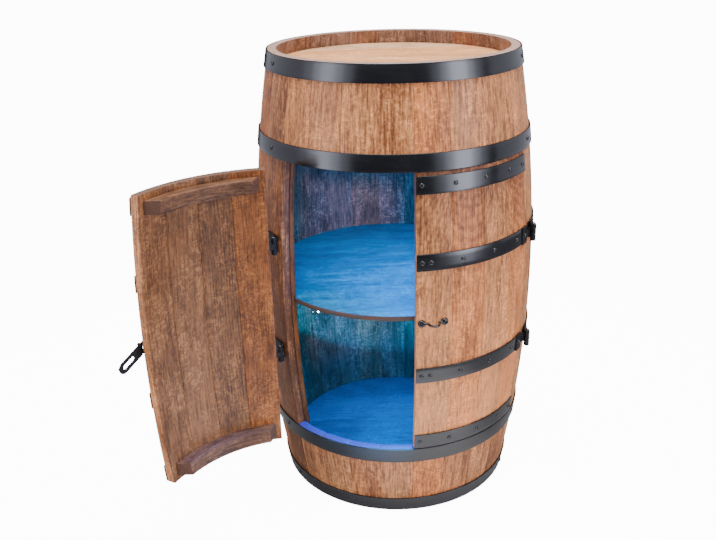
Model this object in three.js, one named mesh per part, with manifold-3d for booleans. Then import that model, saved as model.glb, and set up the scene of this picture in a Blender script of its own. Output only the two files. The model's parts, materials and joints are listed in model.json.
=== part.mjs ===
// Barrel bar cabinet: a bulging oak barrel of staves, heads and steel hoops, with two curved doors
// in its front, a middle shelf and light strips inside. The left door stands open, the right is shut.
// Millimetres, +Z up. Angles are in degrees about the barrel's axis, from the front (-Y) towards +X.

import * as THREE from 'three';
import { mergeGeometries, mergeVertices } from 'three/addons/utils/BufferGeometryUtils.js';
import Module from 'manifold-3d';

const wasm = await Module();
wasm.setup();

// Barrel shell
const BARREL_HEIGHT = 800;
const BELLY_RADIUS = 250;
const END_RADIUS = 212.5;
const STAVE_THICKNESS = 15;
const DOOR_ANGLE = 56.5;
const STAVES_PER_DOOR = 4;
const BACK_PIECE_COUNT = 9;
const STAVES_PER_BACK_PIECE = 2;
const FACETS_PER_STAVE = 2;
const ROUND_FACETS = 52;
const CURVE_STEP = 65;

// Clearances
const JOINT_GAP = 0.3;
const INNER_GAP = 1;
const RUNNING_GAP = 0.3;
const DOOR_END_GAP = 1.5;
const DOOR_EDGE_GAP = 1.2;
const OVERRUN = 5;

// Heads and the grooves that hold them
const HEAD_THICKNESS = 18;
const TOP_HEAD_RECESS = 24;
const BOTTOM_HEAD_TOP = 40;
const HEAD_BEVEL_WIDTH = 6;
const HEAD_BEVEL_HEIGHT = 3;
const CROZE_DEPTH = 5;
const CROZE_WIDTH = 8;

// Hoops and door straps
const HOOP_WIDTH = 28;
const HOOP_THICKNESS = 2.5;
const BOTTOM_HOOP_RISE = 2;
const UPPER_HOOP_DROP = 144.5;
const LOWER_HOOP_HEIGHT = 132;
const TOP_STRAP_INSET = 5;
const BOTTOM_STRAP_INSET = 0.5;
const STRAP_EDGE_INSET = 0.4;
const SCREW_HEAD_RADIUS = 3.6;
const SCREW_HEAD_HEIGHT = 1.8;
const SCREW_TOP_SHARE = 0.55;
const SCREW_SIDES = 6;
const SMALL_SIDES = 12;

// Hinges
const UPPER_HINGE_RISE = 98;
const LOWER_HINGE_DROP = 103;
const HINGE_HEIGHT = 30;
const HINGE_STANDOFF = 9.5;
const HINGE_OFFSET_ANGLE = 1.5;
const KNUCKLE_RADIUS = 5;
const KNUCKLE_COUNT = 3;
const LEAF_THICKNESS = 2;
const LEAF_ARM = 12;
const LEAF_LENGTH = 30;
const HINGE_PIN_RADIUS = 2.5;
const HINGE_PIN_HEAD_RADIUS = 4;
const HINGE_PIN_HEAD_HEIGHT = 2;
const LEFT_DOOR_OPEN_ANGLE = 120.5;

// Door battens, upright battens, shelf and cleats
const BATTEN_HEIGHT = 22.5;
const BATTEN_DEPTH = 22;
const BATTEN_INSET = 10;
const BATTEN_EDGE_INSET = 8;
const BATTEN_SLANT = 15;
const JAMB_BATTEN_DEPTH = 10;
const JAMB_BATTEN_OVERLAP = 9;
const SHELF_DROP = 2;
const SHELF_THICKNESS = 9;
const SHELF_WALL_GAP = 6;
const NOTCH_GAP = 1;
const CLEAT_DEPTH = 22;
const CLEAT_HEIGHT = 20;
const CLEAT_SHARES = [1 / 9, 1 / 2, 8 / 9];

// Hasp and staple
const LATCH_DROP = 6.5;
const LATCH_PIVOT_INSET = 20;
const HASP_WIDTH = 20;
const HASP_THICKNESS = 2.2;
const HASP_SPACER = 4;
const HASP_SPACER_RADIUS = 7;
const HASP_SHANK_RADIUS = 2.5;
const HASP_SCREW_RADIUS = 5.5;
const HASP_SCREW_HEIGHT = 2.5;
const HASP_KNUCKLE_REACH = 17;
const HASP_KNUCKLE_RADIUS = 3;
const HASP_PIN_RADIUS = 1.4;
const HASP_SLOT_REACH = 49;
const HASP_SLOT_LENGTH = 26;
const HASP_SLOT_WIDTH = 8;
const HASP_TIP_REACH = 70;
const HASP_KNOB_RADIUS = 3;
const HASP_KNOB_HEIGHT = 5;
const HASP_KNOB_INSET = 5;
const HASP_DROOP_ANGLE = 19;
const STAPLE_SPAN = 38;
const STAPLE_HUMP = 18;
const STAPLE_REACH = 17;
const STAPLE_WIRE_RADIUS = 2;
const STAPLE_EYE_RADIUS = 6.5;
const STAPLE_EYE_HEIGHT = 4.5;
const STAPLE_STEPS = 18;
const STAPLE_SECTION_STEPS = 4;
const BEZIER_PEAK_SHARE = 0.75;

// Lighting
const STRIP_WIDTH = 10;
const STRIP_THICKNESS = 2.5;
const STRIP_INSET = 8;
const STRIP_START_ANGLE = 42;
const STRIP_STEPS = 20;
const CONTROLLER_LENGTH = 60;
const CONTROLLER_WIDTH = 34;
const CONTROLLER_HEIGHT = 18;
const CONTROLLER_SETBACK = 110;
const GROMMET_DROP = 49;
const GROMMET_BORE_RADIUS = 4;
const GROMMET_TUBE_RADIUS = 6.5;
const GROMMET_FLANGE_RADIUS = 10;
const GROMMET_FLANGE_THICKNESS = 3;
const GROMMET_SIDES = 16;

// Sizes that follow from those above
const FULL_TURN = 360;
const HALF_TURN = 180;
const QUARTER_TURN = 90;
const BACK_ANGLE = FULL_TURN - 2 * DOOR_ANGLE;
const FRONT_STAVE_ANGLE = DOOR_ANGLE / STAVES_PER_DOOR;
const BACK_PIECE_ANGLE = BACK_ANGLE / BACK_PIECE_COUNT;
const BACK_STAVE_ANGLE = BACK_PIECE_ANGLE / STAVES_PER_BACK_PIECE;
const END_INNER_RADIUS = END_RADIUS - STAVE_THICKNESS;
const MIDDLE_HEIGHT = BARREL_HEIGHT / 2;
const UPPER_HOOP_HEIGHT = BARREL_HEIGHT - UPPER_HOOP_DROP;
const UPPER_HINGE_HEIGHT = MIDDLE_HEIGHT + UPPER_HINGE_RISE;
const LOWER_HINGE_HEIGHT = MIDDLE_HEIGHT - LOWER_HINGE_DROP;
const LATCH_HEIGHT = MIDDLE_HEIGHT - LATCH_DROP;
const OPENING_BOTTOM = LOWER_HOOP_HEIGHT + HOOP_WIDTH / 2;
const OPENING_TOP = UPPER_HOOP_HEIGHT - HOOP_WIDTH / 2;
const DOOR_BOTTOM = OPENING_BOTTOM + DOOR_END_GAP;
const DOOR_TOP = OPENING_TOP - DOOR_END_GAP;
const TOP_HEAD_TOP = BARREL_HEIGHT - TOP_HEAD_RECESS;
const HEAD_TOPS = [TOP_HEAD_TOP, BOTTOM_HEAD_TOP];
const SHELF_TOP = MIDDLE_HEIGHT - SHELF_DROP;
const SHELF_BOTTOM = SHELF_TOP - SHELF_THICKNESS;
const GROMMET_HEIGHT = SHELF_BOTTOM - GROMMET_DROP;
const SHELF_RADIUS = radiusAt(SHELF_BOTTOM) - STAVE_THICKNESS - SHELF_WALL_GAP;
// A hoop's corners stand out this far, so that its flats still clear the corners of the staves.
const FACET_RISE = BELLY_RADIUS / Math.cos(radians(HALF_TURN / ROUND_FACETS)) - BELLY_RADIUS;
const HOOP_SEAT = JOINT_GAP + FACET_RISE;
const STRAP_SEAT = JOINT_GAP;
const HINGE_AXIS_RADIUS = BELLY_RADIUS + HINGE_STANDOFF;
const HINGE_AXIS_ANGLE = DOOR_ANGLE + HINGE_OFFSET_ANGLE;
const HINGE_HEIGHTS = [UPPER_HINGE_HEIGHT, LOWER_HINGE_HEIGHT];
const STRAP_HEIGHTS = [
  DOOR_TOP - TOP_STRAP_INSET - HOOP_WIDTH / 2,
  ...HINGE_HEIGHTS,
  DOOR_BOTTOM + BOTTOM_STRAP_INSET + HOOP_WIDTH / 2,
];

// Places of the screws along a door strap, as shares of the door's width from its free edge
const PLAIN_STRAP_SCREW_SHARES = [0.042, 0.272, 0.515, 0.756, 0.937];
const HINGE_STRAP_SCREW_SHARES = [0.042, 0.1, 0.32, 0.575, 0.83];

// Places of the screws round the whole hoops and the middle hoops, as shares of a turn
const TOP_HOOP_SCREW_SHARES = [0.183, 0.5, 0.806];
const HOOP_SCREW_SHARES = [0.17, 0.5, 0.82];
const MIDDLE_HOOP_SCREW_SHARES = [0.185, 0.25, 0.375, 0.5, 0.625, 0.75, 0.815];

const oak = woodMaterial('#9c6b45');
const darkOak = woodMaterial('#8a5a3a');
const paleOak = woodMaterial('#b08663');
const shelfBoard = woodMaterial('#a5714a');
const blackSteel = new THREE.MeshStandardMaterial({ color: '#26272b', roughness: 0.38, metalness: 0.85 });
const blackScrew = new THREE.MeshStandardMaterial({ color: '#141416', roughness: 0.5, metalness: 0.7 });
const lightStrip = new THREE.MeshStandardMaterial({ color: '#dfeaf2', roughness: 0.4, metalness: 0 });
const blackPlastic = new THREE.MeshStandardMaterial({ color: '#1b1c1e', roughness: 0.55, metalness: 0 });

function woodMaterial(color) {
  return new THREE.MeshStandardMaterial({ color, roughness: 0.62, metalness: 0 });
}

function radians(degrees) {
  return THREE.MathUtils.degToRad(degrees);
}

// The barrel's bulge: its outer radius at a height, and how fast that radius grows with height.
function radiusAt(height) {
  const share = (height - MIDDLE_HEIGHT) / MIDDLE_HEIGHT;
  return BELLY_RADIUS - (BELLY_RADIUS - END_RADIUS) * share ** 2;
}

function slopeAt(height) {
  const share = (height - MIDDLE_HEIGHT) / MIDDLE_HEIGHT;
  return (-2 * (BELLY_RADIUS - END_RADIUS) * share) / MIDDLE_HEIGHT;
}

// The angle that a gap takes up at the narrowest inner radius, so that it is nowhere less.
function gapAngle(gap) {
  return THREE.MathUtils.radToDeg(gap / END_INNER_RADIUS);
}

// Solids and booleans
function solidOf(geometry) {
  const bare = geometry.clone();
  bare.deleteAttribute('normal');
  bare.deleteAttribute('uv');
  const closed = mergeVertices(bare);
  const mesh = new wasm.Mesh({
    numProp: 3,
    vertProperties: Float32Array.from(closed.attributes.position.array),
    triVerts: Uint32Array.from(closed.index.array),
  });
  return new wasm.Manifold(mesh);
}

function geometryOf(solid) {
  const mesh = solid.getMesh();
  const geometry = new THREE.BufferGeometry();
  geometry.setAttribute('position', new THREE.BufferAttribute(Float32Array.from(mesh.vertProperties), 3));
  geometry.setIndex(new THREE.BufferAttribute(Uint32Array.from(mesh.triVerts), 1));
  return geometry;
}

function joined(geometries) {
  return geometries.map(solidOf).reduce((whole, piece) => whole.add(piece));
}

function extrudedUp(shape, bottom, top) {
  const geometry = new THREE.ExtrudeGeometry(shape, {
    depth: top - bottom,
    bevelEnabled: false,
    curveSegments: SMALL_SIDES,
  });
  return geometry.translate(0, 0, bottom);
}

function upright(radius, bottom, top, sides = SMALL_SIDES) {
  const geometry = new THREE.CylinderGeometry(radius, radius, top - bottom, sides);
  return geometry.rotateX(radians(QUARTER_TURN)).translate(0, 0, (top + bottom) / 2);
}

// The flat end of a swept profile, facing back or forward along the sweep.
function sweepEnd(profile, angle, facesForward) {
  const sine = Math.sin(radians(angle));
  const cosine = Math.cos(radians(angle));
  const positions = profile.flatMap((point) => [point.x * sine, point.y, point.x * cosine]);
  const faces = THREE.ShapeUtils.triangulateShape(profile, []);
  const turned = faces.map(([a, b, c]) => (facesForward ? [a, b, c] : [a, c, b]));
  const geometry = new THREE.BufferGeometry();
  geometry.setAttribute('position', new THREE.BufferAttribute(Float32Array.from(positions), 3));
  geometry.setIndex(turned.flat());
  return geometry;
}

// A closed profile of (radius, height) points, swept about the barrel's axis between two angles.
function sweptArc(profile, fromAngle, toAngle, steps) {
  const outline = [...profile, profile[0]];
  const sweep = radians(toAngle - fromAngle);
  const side = new THREE.LatheGeometry(outline, steps, radians(fromAngle), sweep);
  side.deleteAttribute('normal');
  side.deleteAttribute('uv');
  const ends = [sweepEnd(profile, fromAngle, true), sweepEnd(profile, toAngle, false)];
  const whole = mergeVertices(mergeGeometries([side, ...ends]));
  return whole.rotateX(radians(QUARTER_TURN));
}

function sweptRing(profile) {
  const outline = [...profile, profile[0]];
  return new THREE.LatheGeometry(outline, ROUND_FACETS).rotateX(radians(QUARTER_TURN));
}

// A disc or pin profile starts and ends on the axis.
function turnedSolid(profile, sides) {
  return new THREE.LatheGeometry(profile, sides).rotateX(radians(QUARTER_TURN));
}

function point(x, y) {
  return new THREE.Vector2(x, y);
}

// Points on the bulge, set in or out by an offset, from one height to another.
function bulgeLine(fromHeight, toHeight, offset) {
  const steps = Math.max(1, Math.round(Math.abs(toHeight - fromHeight) / CURVE_STEP));
  const heights = Array.from({ length: steps + 1 }, (_, i) => fromHeight + ((toHeight - fromHeight) * i) / steps);
  return heights.map((height) => point(radiusAt(height) + offset, height));
}

// The cross-section of a skin that follows the bulge, thickness measured inwards from its outer face.
function skinProfile(bottom, top, outerOffset, thickness) {
  return [...bulgeLine(bottom, top, outerOffset), ...bulgeLine(top, bottom, outerOffset - thickness)];
}

// The inner line of the staves from top to bottom, with the grooves of the heads that it passes.
function staveInnerLine(bottom, top) {
  const line = [];
  let reached = top;
  for (const headTop of HEAD_TOPS) {
    const centre = headTop - HEAD_THICKNESS / 2;
    if (centre < bottom || centre > top) continue;
    const grooveTop = centre + CROZE_WIDTH / 2;
    const grooveBottom = centre - CROZE_WIDTH / 2;
    line.push(...bulgeLine(reached, grooveTop, -STAVE_THICKNESS));
    line.push(...bulgeLine(grooveTop, grooveBottom, CROZE_DEPTH - STAVE_THICKNESS));
    reached = grooveBottom;
  }
  line.push(...bulgeLine(reached, bottom, -STAVE_THICKNESS));
  return line;
}

// Staves side by side that fill the wall between two angles.
function stavesBetween(fromAngle, toAngle, staveCount, bottom, top) {
  const halfGap = gapAngle(JOINT_GAP / 2);
  const profile = [...bulgeLine(bottom, top, 0), ...staveInnerLine(bottom, top)];
  return sweptArc(profile, fromAngle + halfGap, toAngle - halfGap, staveCount * FACETS_PER_STAVE);
}

// A place on the barrel's outer face: X runs along the hoops, Y up the staves and Z straight out.
function surfaceFrame(angle, height, offset) {
  const turn = radians(angle);
  const tilt = Math.atan(slopeAt(height));
  const outwards = new THREE.Vector3(Math.sin(turn), -Math.cos(turn), 0);
  const along = new THREE.Vector3(Math.cos(turn), Math.sin(turn), 0);
  const out = outwards.clone().multiplyScalar(Math.cos(tilt)).setZ(-Math.sin(tilt));
  const up = out.clone().cross(along);
  const place = outwards.clone().multiplyScalar(radiusAt(height)).setZ(height);
  const frame = new THREE.Matrix4().makeBasis(along, up, out);
  return frame.setPosition(place.addScaledVector(out, offset));
}

// The domed head of a screw, on a band of steel whose outer face stands off the staves by an offset.
function screwHead(angle, height, offset) {
  const sunk = HOOP_THICKNESS / 2;
  const length = SCREW_HEAD_HEIGHT + sunk;
  const topRadius = SCREW_HEAD_RADIUS * SCREW_TOP_SHARE;
  const head = new THREE.CylinderGeometry(topRadius, SCREW_HEAD_RADIUS, length, SCREW_SIDES);
  head.rotateX(radians(QUARTER_TURN)).translate(0, 0, length / 2 - sunk);
  return head.applyMatrix4(surfaceFrame(angle, height, offset));
}

function hoopProfile(height, seat) {
  const bottom = height - HOOP_WIDTH / 2;
  const top = height + HOOP_WIDTH / 2;
  return skinProfile(bottom, top, seat + HOOP_THICKNESS, HOOP_THICKNESS);
}

function hoopScrews(height, shares) {
  return shares.map((share) => screwHead(share * FULL_TURN, height, HOOP_SEAT + HOOP_THICKNESS));
}

function wholeHoop(height, screwShares) {
  const ring = sweptRing(hoopProfile(height, HOOP_SEAT));
  return geometryOf(joined([ring, ...hoopScrews(height, screwShares)]));
}

// Hinges. In plan the pin's axis is the origin, X points outwards and Y along the hoops.
// The side is 1 where a leaf runs towards greater angles and -1 where it runs the other way.
function hingePlace(geometry, doorSide) {
  const angle = doorSide * HINGE_AXIS_ANGLE;
  const turned = geometry.translate(HINGE_AXIS_RADIUS, 0, 0);
  return turned.rotateZ(radians(angle - QUARTER_TURN));
}

function knuckleSpan(height, index) {
  const length = HINGE_HEIGHT / KNUCKLE_COUNT;
  const bottom = height - HINGE_HEIGHT / 2 + index * length;
  return [bottom + RUNNING_GAP / 2, bottom + length - RUNNING_GAP / 2];
}

// How far the outer face of a hoop or strap lies from the pin's axis, at a distance along it.
function leafSeat(height, along) {
  const seatRadius = radiusAt(height) + STRAP_SEAT + HOOP_THICKNESS;
  return Math.sqrt(seatRadius ** 2 - along ** 2) - HINGE_AXIS_RADIUS;
}

function hingeLeafPieces(height, doorSide, side, knuckleIndexes) {
  const sunk = HOOP_THICKNESS / 2;
  const armSeat = leafSeat(height, LEAF_ARM);
  const endSeat = leafSeat(height, LEAF_LENGTH);
  const plate = new THREE.Shape([
    point(armSeat - sunk, side * LEAF_ARM),
    point(armSeat + LEAF_THICKNESS, side * LEAF_ARM),
    point(endSeat + LEAF_THICKNESS, side * LEAF_LENGTH),
    point(endSeat - sunk, side * LEAF_LENGTH),
  ]);
  const arm = new THREE.Shape([
    point(-KNUCKLE_RADIUS, 0),
    point(-KNUCKLE_RADIUS + LEAF_THICKNESS, 0),
    point(armSeat + LEAF_THICKNESS, side * (LEAF_ARM + LEAF_THICKNESS)),
    point(armSeat - sunk, side * (LEAF_ARM + LEAF_THICKNESS)),
  ]);
  const pieces = [extrudedUp(plate, height - HINGE_HEIGHT / 2, height + HINGE_HEIGHT / 2)];
  for (const index of knuckleIndexes) {
    const [bottom, top] = knuckleSpan(height, index);
    pieces.push(extrudedUp(arm, bottom, top));
    pieces.push(upright(KNUCKLE_RADIUS, bottom, top));
  }
  const placed = pieces.map((piece) => hingePlace(piece, doorSide));
  const screwAlong = THREE.MathUtils.radToDeg((LEAF_ARM + LEAF_LENGTH) / 2 / BELLY_RADIUS);
  const screwAngle = doorSide * HINGE_AXIS_ANGLE + side * screwAlong;
  return [...placed, screwHead(screwAngle, height, STRAP_SEAT + HOOP_THICKNESS + LEAF_THICKNESS)];
}

function hingeBore(height, doorSide) {
  const reach = HINGE_HEIGHT / 2 + OVERRUN;
  const bore = upright(HINGE_PIN_RADIUS + RUNNING_GAP, height - reach, height + reach);
  return solidOf(hingePlace(bore, doorSide));
}

function hingePin(height, doorSide) {
  const bottom = height - HINGE_HEIGHT / 2;
  const seat = height + HINGE_HEIGHT / 2 + JOINT_GAP;
  const profile = [
    point(0, bottom),
    point(HINGE_PIN_RADIUS, bottom),
    point(HINGE_PIN_RADIUS, seat),
    point(HINGE_PIN_HEAD_RADIUS, seat),
    point(HINGE_PIN_RADIUS, seat + HINGE_PIN_HEAD_HEIGHT),
    point(0, seat + HINGE_PIN_HEAD_HEIGHT),
  ];
  return hingePlace(turnedSolid(profile, SMALL_SIDES), doorSide);
}

// The middle hoops run round the back and carry the outer knuckles of both doors' hinges.
function middleHoop(height) {
  const start = HINGE_AXIS_ANGLE + gapAngle(KNUCKLE_RADIUS);
  const steps = Math.ceil((ROUND_FACETS * (FULL_TURN - 2 * start)) / FULL_TURN);
  const pieces = [sweptArc(hoopProfile(height, HOOP_SEAT), start, FULL_TURN - start, steps)];
  pieces.push(...hingeLeafPieces(height, 1, 1, [0, 2]));
  pieces.push(...hingeLeafPieces(height, -1, -1, [0, 2]));
  pieces.push(...hoopScrews(height, MIDDLE_HOOP_SCREW_SHARES));
  return geometryOf(joined(pieces).subtract(hingeBore(height, 1)).subtract(hingeBore(height, -1)));
}

// A door's edges, as angles from its free edge to its hinged edge.
function doorEdges(inset) {
  return [gapAngle(DOOR_EDGE_GAP / 2 + inset), DOOR_ANGLE - gapAngle(DOOR_EDGE_GAP + inset)];
}

function doorArc(profile, doorSide, inset) {
  const [free, hinged] = doorEdges(inset);
  const edges = [doorSide * free, doorSide * hinged].sort((a, b) => a - b);
  return sweptArc(profile, edges[0], edges[1], STAVES_PER_DOOR * FACETS_PER_STAVE);
}

function doorStrap(height, doorSide) {
  const carriesHinge = HINGE_HEIGHTS.includes(height);
  const shares = carriesHinge ? HINGE_STRAP_SCREW_SHARES : PLAIN_STRAP_SCREW_SHARES;
  const headSeat = STRAP_SEAT + HOOP_THICKNESS;
  const heads = shares.map((share) => screwHead(doorSide * share * DOOR_ANGLE, height, headSeat));
  const band = doorArc(hoopProfile(height, STRAP_SEAT), doorSide, STRAP_EDGE_INSET);
  const strap = joined([band, ...heads]);
  if (!carriesHinge) return geometryOf(strap);
  const leaf = joined(hingeLeafPieces(height, doorSide, -doorSide, [1]));
  return geometryOf(strap.add(leaf).subtract(hingeBore(height, doorSide)));
}

function doorStave(index, doorSide) {
  const [free, hinged] = doorEdges(0);
  const halfGap = gapAngle(JOINT_GAP / 2);
  const near = index === 0 ? free : index * FRONT_STAVE_ANGLE + halfGap;
  const far = index === STAVES_PER_DOOR - 1 ? hinged : (index + 1) * FRONT_STAVE_ANGLE - halfGap;
  const edges = [doorSide * near, doorSide * far].sort((a, b) => a - b);
  const profile = skinProfile(DOOR_BOTTOM, DOOR_TOP, 0, STAVE_THICKNESS);
  return sweptArc(profile, edges[0], edges[1], FACETS_PER_STAVE);
}

// A curved batten across the inside of a door, its ends slanted back from the wall.
function doorBatten(bottom, doorSide) {
  const outerOffset = -STAVE_THICKNESS - INNER_GAP;
  const profile = skinProfile(bottom, bottom + BATTEN_HEIGHT, outerOffset, BATTEN_DEPTH);
  const wallRadius = radiusAt(bottom) + outerOffset;
  const innerRadius = wallRadius - BATTEN_DEPTH - OVERRUN;
  const corners = [];
  for (const [edge, inwards] of [[0, 1], [1, -1]]) {
    const wallAngle = doorEdges(BATTEN_EDGE_INSET)[edge];
    const slantAngle = wallAngle + inwards * gapAngle(BATTEN_SLANT);
    corners.push([[2 * BELLY_RADIUS, wallAngle], [wallRadius, wallAngle], [innerRadius, slantAngle]]);
  }
  const outline = [...corners[0], ...corners[1].reverse()].map(([radius, angle]) => {
    const turn = radians(doorSide * angle);
    return point(radius * Math.sin(turn), -radius * Math.cos(turn));
  });
  const trim = extrudedUp(new THREE.Shape(outline), bottom - OVERRUN, bottom + BATTEN_HEIGHT + OVERRUN);
  return geometryOf(solidOf(doorArc(profile, doorSide, 0)).intersect(solidOf(trim)));
}

// The upright battens stand against the wall just beside the opening.
function jambBattenArc(doorSide, gap) {
  const bottom = OPENING_BOTTOM - JAMB_BATTEN_OVERLAP - gap;
  const top = OPENING_TOP + JAMB_BATTEN_OVERLAP + gap;
  const near = DOOR_ANGLE + gapAngle(JOINT_GAP - gap);
  const far = DOOR_ANGLE + BACK_STAVE_ANGLE / FACETS_PER_STAVE + gapAngle(gap);
  const edges = [doorSide * near, doorSide * far].sort((a, b) => a - b);
  const profile = skinProfile(bottom, top, gap - STAVE_THICKNESS - INNER_GAP, JAMB_BATTEN_DEPTH + 2 * gap);
  return sweptArc(profile, edges[0], edges[1], 1);
}

// Heads: a disc with a tongue round its edge that sits in the staves' groove, and a bevelled top.
function head(top) {
  const bottom = top - HEAD_THICKNESS;
  const centre = top - HEAD_THICKNESS / 2;
  const halfTongue = CROZE_WIDTH / 2 - JOINT_GAP;
  const wall = Math.min(radiusAt(top), radiusAt(bottom)) - STAVE_THICKNESS - INNER_GAP;
  const tongue = radiusAt(centre) - STAVE_THICKNESS + CROZE_DEPTH - INNER_GAP;
  return turnedSolid([
    point(0, bottom),
    point(wall, bottom),
    point(wall, centre - halfTongue),
    point(tongue, centre - halfTongue),
    point(tongue, centre + halfTongue),
    point(wall, centre + halfTongue),
    point(wall, top - HEAD_BEVEL_HEIGHT),
    point(wall - HEAD_BEVEL_WIDTH, top),
    point(0, top),
  ], ROUND_FACETS);
}

function middleShelf() {
  const disc = turnedSolid([
    point(0, SHELF_BOTTOM),
    point(SHELF_RADIUS, SHELF_BOTTOM),
    point(SHELF_RADIUS, SHELF_TOP),
    point(0, SHELF_TOP),
  ], ROUND_FACETS);
  const notches = [1, -1].map((doorSide) => solidOf(jambBattenArc(doorSide, NOTCH_GAP)));
  return geometryOf(solidOf(disc).subtract(notches[0]).subtract(notches[1]));
}

function shelfCleat(share) {
  const centre = DOOR_ANGLE + share * BACK_ANGLE;
  const halfWidth = BACK_STAVE_ANGLE / 2;
  const top = SHELF_BOTTOM - JOINT_GAP;
  const profile = skinProfile(top - CLEAT_HEIGHT, top, -STAVE_THICKNESS - INNER_GAP, CLEAT_DEPTH);
  return sweptArc(profile, centre - halfWidth, centre + halfWidth, FACETS_PER_STAVE);
}

// Light strips hang under the top head and under the shelf, open towards the front.
function lightStripUnder(seat, outerRadius) {
  const top = seat - JOINT_GAP;
  const profile = [
    point(outerRadius, top - STRIP_THICKNESS),
    point(outerRadius, top),
    point(outerRadius - STRIP_WIDTH, top),
    point(outerRadius - STRIP_WIDTH, top - STRIP_THICKNESS),
  ];
  return sweptArc(profile, STRIP_START_ANGLE, FULL_TURN - STRIP_START_ANGLE, STRIP_STEPS);
}

function controllerBox() {
  const box = new THREE.BoxGeometry(CONTROLLER_LENGTH, CONTROLLER_WIDTH, CONTROLLER_HEIGHT);
  const top = TOP_HEAD_TOP - HEAD_THICKNESS - JOINT_GAP;
  return box.translate(0, CONTROLLER_SETBACK, top - CONTROLLER_HEIGHT / 2);
}

// The cable inlet in the back wall: a flanged bush, with its axis square to the wall.
function grommetFrame() {
  return surfaceFrame(HALF_TURN, GROMMET_HEIGHT, 0);
}

function cableGrommet() {
  const inner = -STAVE_THICKNESS - GROMMET_FLANGE_THICKNESS;
  const seat = JOINT_GAP + INNER_GAP;
  const outer = seat + GROMMET_FLANGE_THICKNESS;
  const profile = [
    point(GROMMET_BORE_RADIUS, inner),
    point(GROMMET_TUBE_RADIUS, inner),
    point(GROMMET_TUBE_RADIUS, seat),
    point(GROMMET_FLANGE_RADIUS, seat),
    point(GROMMET_FLANGE_RADIUS, outer),
    point(GROMMET_BORE_RADIUS, outer),
    point(GROMMET_BORE_RADIUS, inner),
  ];
  return turnedSolid(profile, GROMMET_SIDES).applyMatrix4(grommetFrame());
}

function grommetHole() {
  const reach = STAVE_THICKNESS + OVERRUN;
  const hole = upright(GROMMET_TUBE_RADIUS + JOINT_GAP, -reach, reach, GROMMET_SIDES);
  return solidOf(hole.applyMatrix4(grommetFrame()));
}

// Hasp. Its own frame has the pivot screw along Z and the leaf running towards +X.
function haspPivotScrew() {
  const plateBottom = HASP_SPACER;
  const headSeat = plateBottom + HASP_THICKNESS + 2 * RUNNING_GAP;
  const top = headSeat + HASP_SCREW_HEIGHT;
  return turnedSolid([
    point(0, JOINT_GAP),
    point(HASP_SPACER_RADIUS, JOINT_GAP),
    point(HASP_SPACER_RADIUS, plateBottom),
    point(HASP_SHANK_RADIUS, plateBottom),
    point(HASP_SHANK_RADIUS, headSeat),
    point(HASP_SCREW_RADIUS, headSeat),
    point(HASP_SCREW_RADIUS * SCREW_TOP_SHARE, top),
    point(0, top),
  ], SMALL_SIDES);
}

function haspLevel() {
  const bottom = HASP_SPACER + RUNNING_GAP;
  return [bottom, bottom + HASP_THICKNESS];
}

function haspKnuckle(fromY, toY, radius) {
  const centreZ = haspLevel()[0] + HASP_KNUCKLE_RADIUS;
  const knuckle = new THREE.CylinderGeometry(radius, radius, toY - fromY, SMALL_SIDES);
  return knuckle.translate(HASP_KNUCKLE_REACH, (fromY + toY) / 2, centreZ);
}

function haspKnuckleSpan(index) {
  const length = HASP_WIDTH / KNUCKLE_COUNT;
  const from = index * length - HASP_WIDTH / 2;
  return [from + RUNNING_GAP / 2, from + length - RUNNING_GAP / 2];
}

function rectangle(fromX, toX, fromY, toY) {
  return new THREE.Shape([point(fromX, fromY), point(toX, fromY), point(toX, toY), point(fromX, toY)]);
}

function haspPinBore() {
  const reach = HASP_WIDTH / 2 + OVERRUN;
  return solidOf(haspKnuckle(-reach, reach, HASP_PIN_RADIUS + RUNNING_GAP));
}

function haspPlate() {
  const [bottom, top] = haspLevel();
  const clear = HASP_KNUCKLE_REACH - HASP_KNUCKLE_RADIUS - RUNNING_GAP;
  const half = HASP_WIDTH / 2;
  const outline = new THREE.Shape();
  outline.absarc(0, 0, half, radians(QUARTER_TURN), radians(FULL_TURN - QUARTER_TURN), false);
  outline.lineTo(clear, -half);
  outline.lineTo(clear, half);
  const pieces = [extrudedUp(outline, bottom, top)];
  for (const index of [0, 2]) {
    const [fromY, toY] = haspKnuckleSpan(index);
    pieces.push(extrudedUp(rectangle(clear - OVERRUN, HASP_KNUCKLE_REACH, fromY, toY), bottom, top));
    pieces.push(haspKnuckle(fromY, toY, HASP_KNUCKLE_RADIUS));
  }
  const pivotHole = solidOf(upright(HASP_SHANK_RADIUS + RUNNING_GAP, 0, top + OVERRUN));
  return geometryOf(joined(pieces).subtract(haspPinBore()).subtract(pivotHole));
}

function haspPin() {
  const reach = HASP_WIDTH / 2;
  return haspKnuckle(-reach, reach, HASP_PIN_RADIUS);
}

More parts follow.
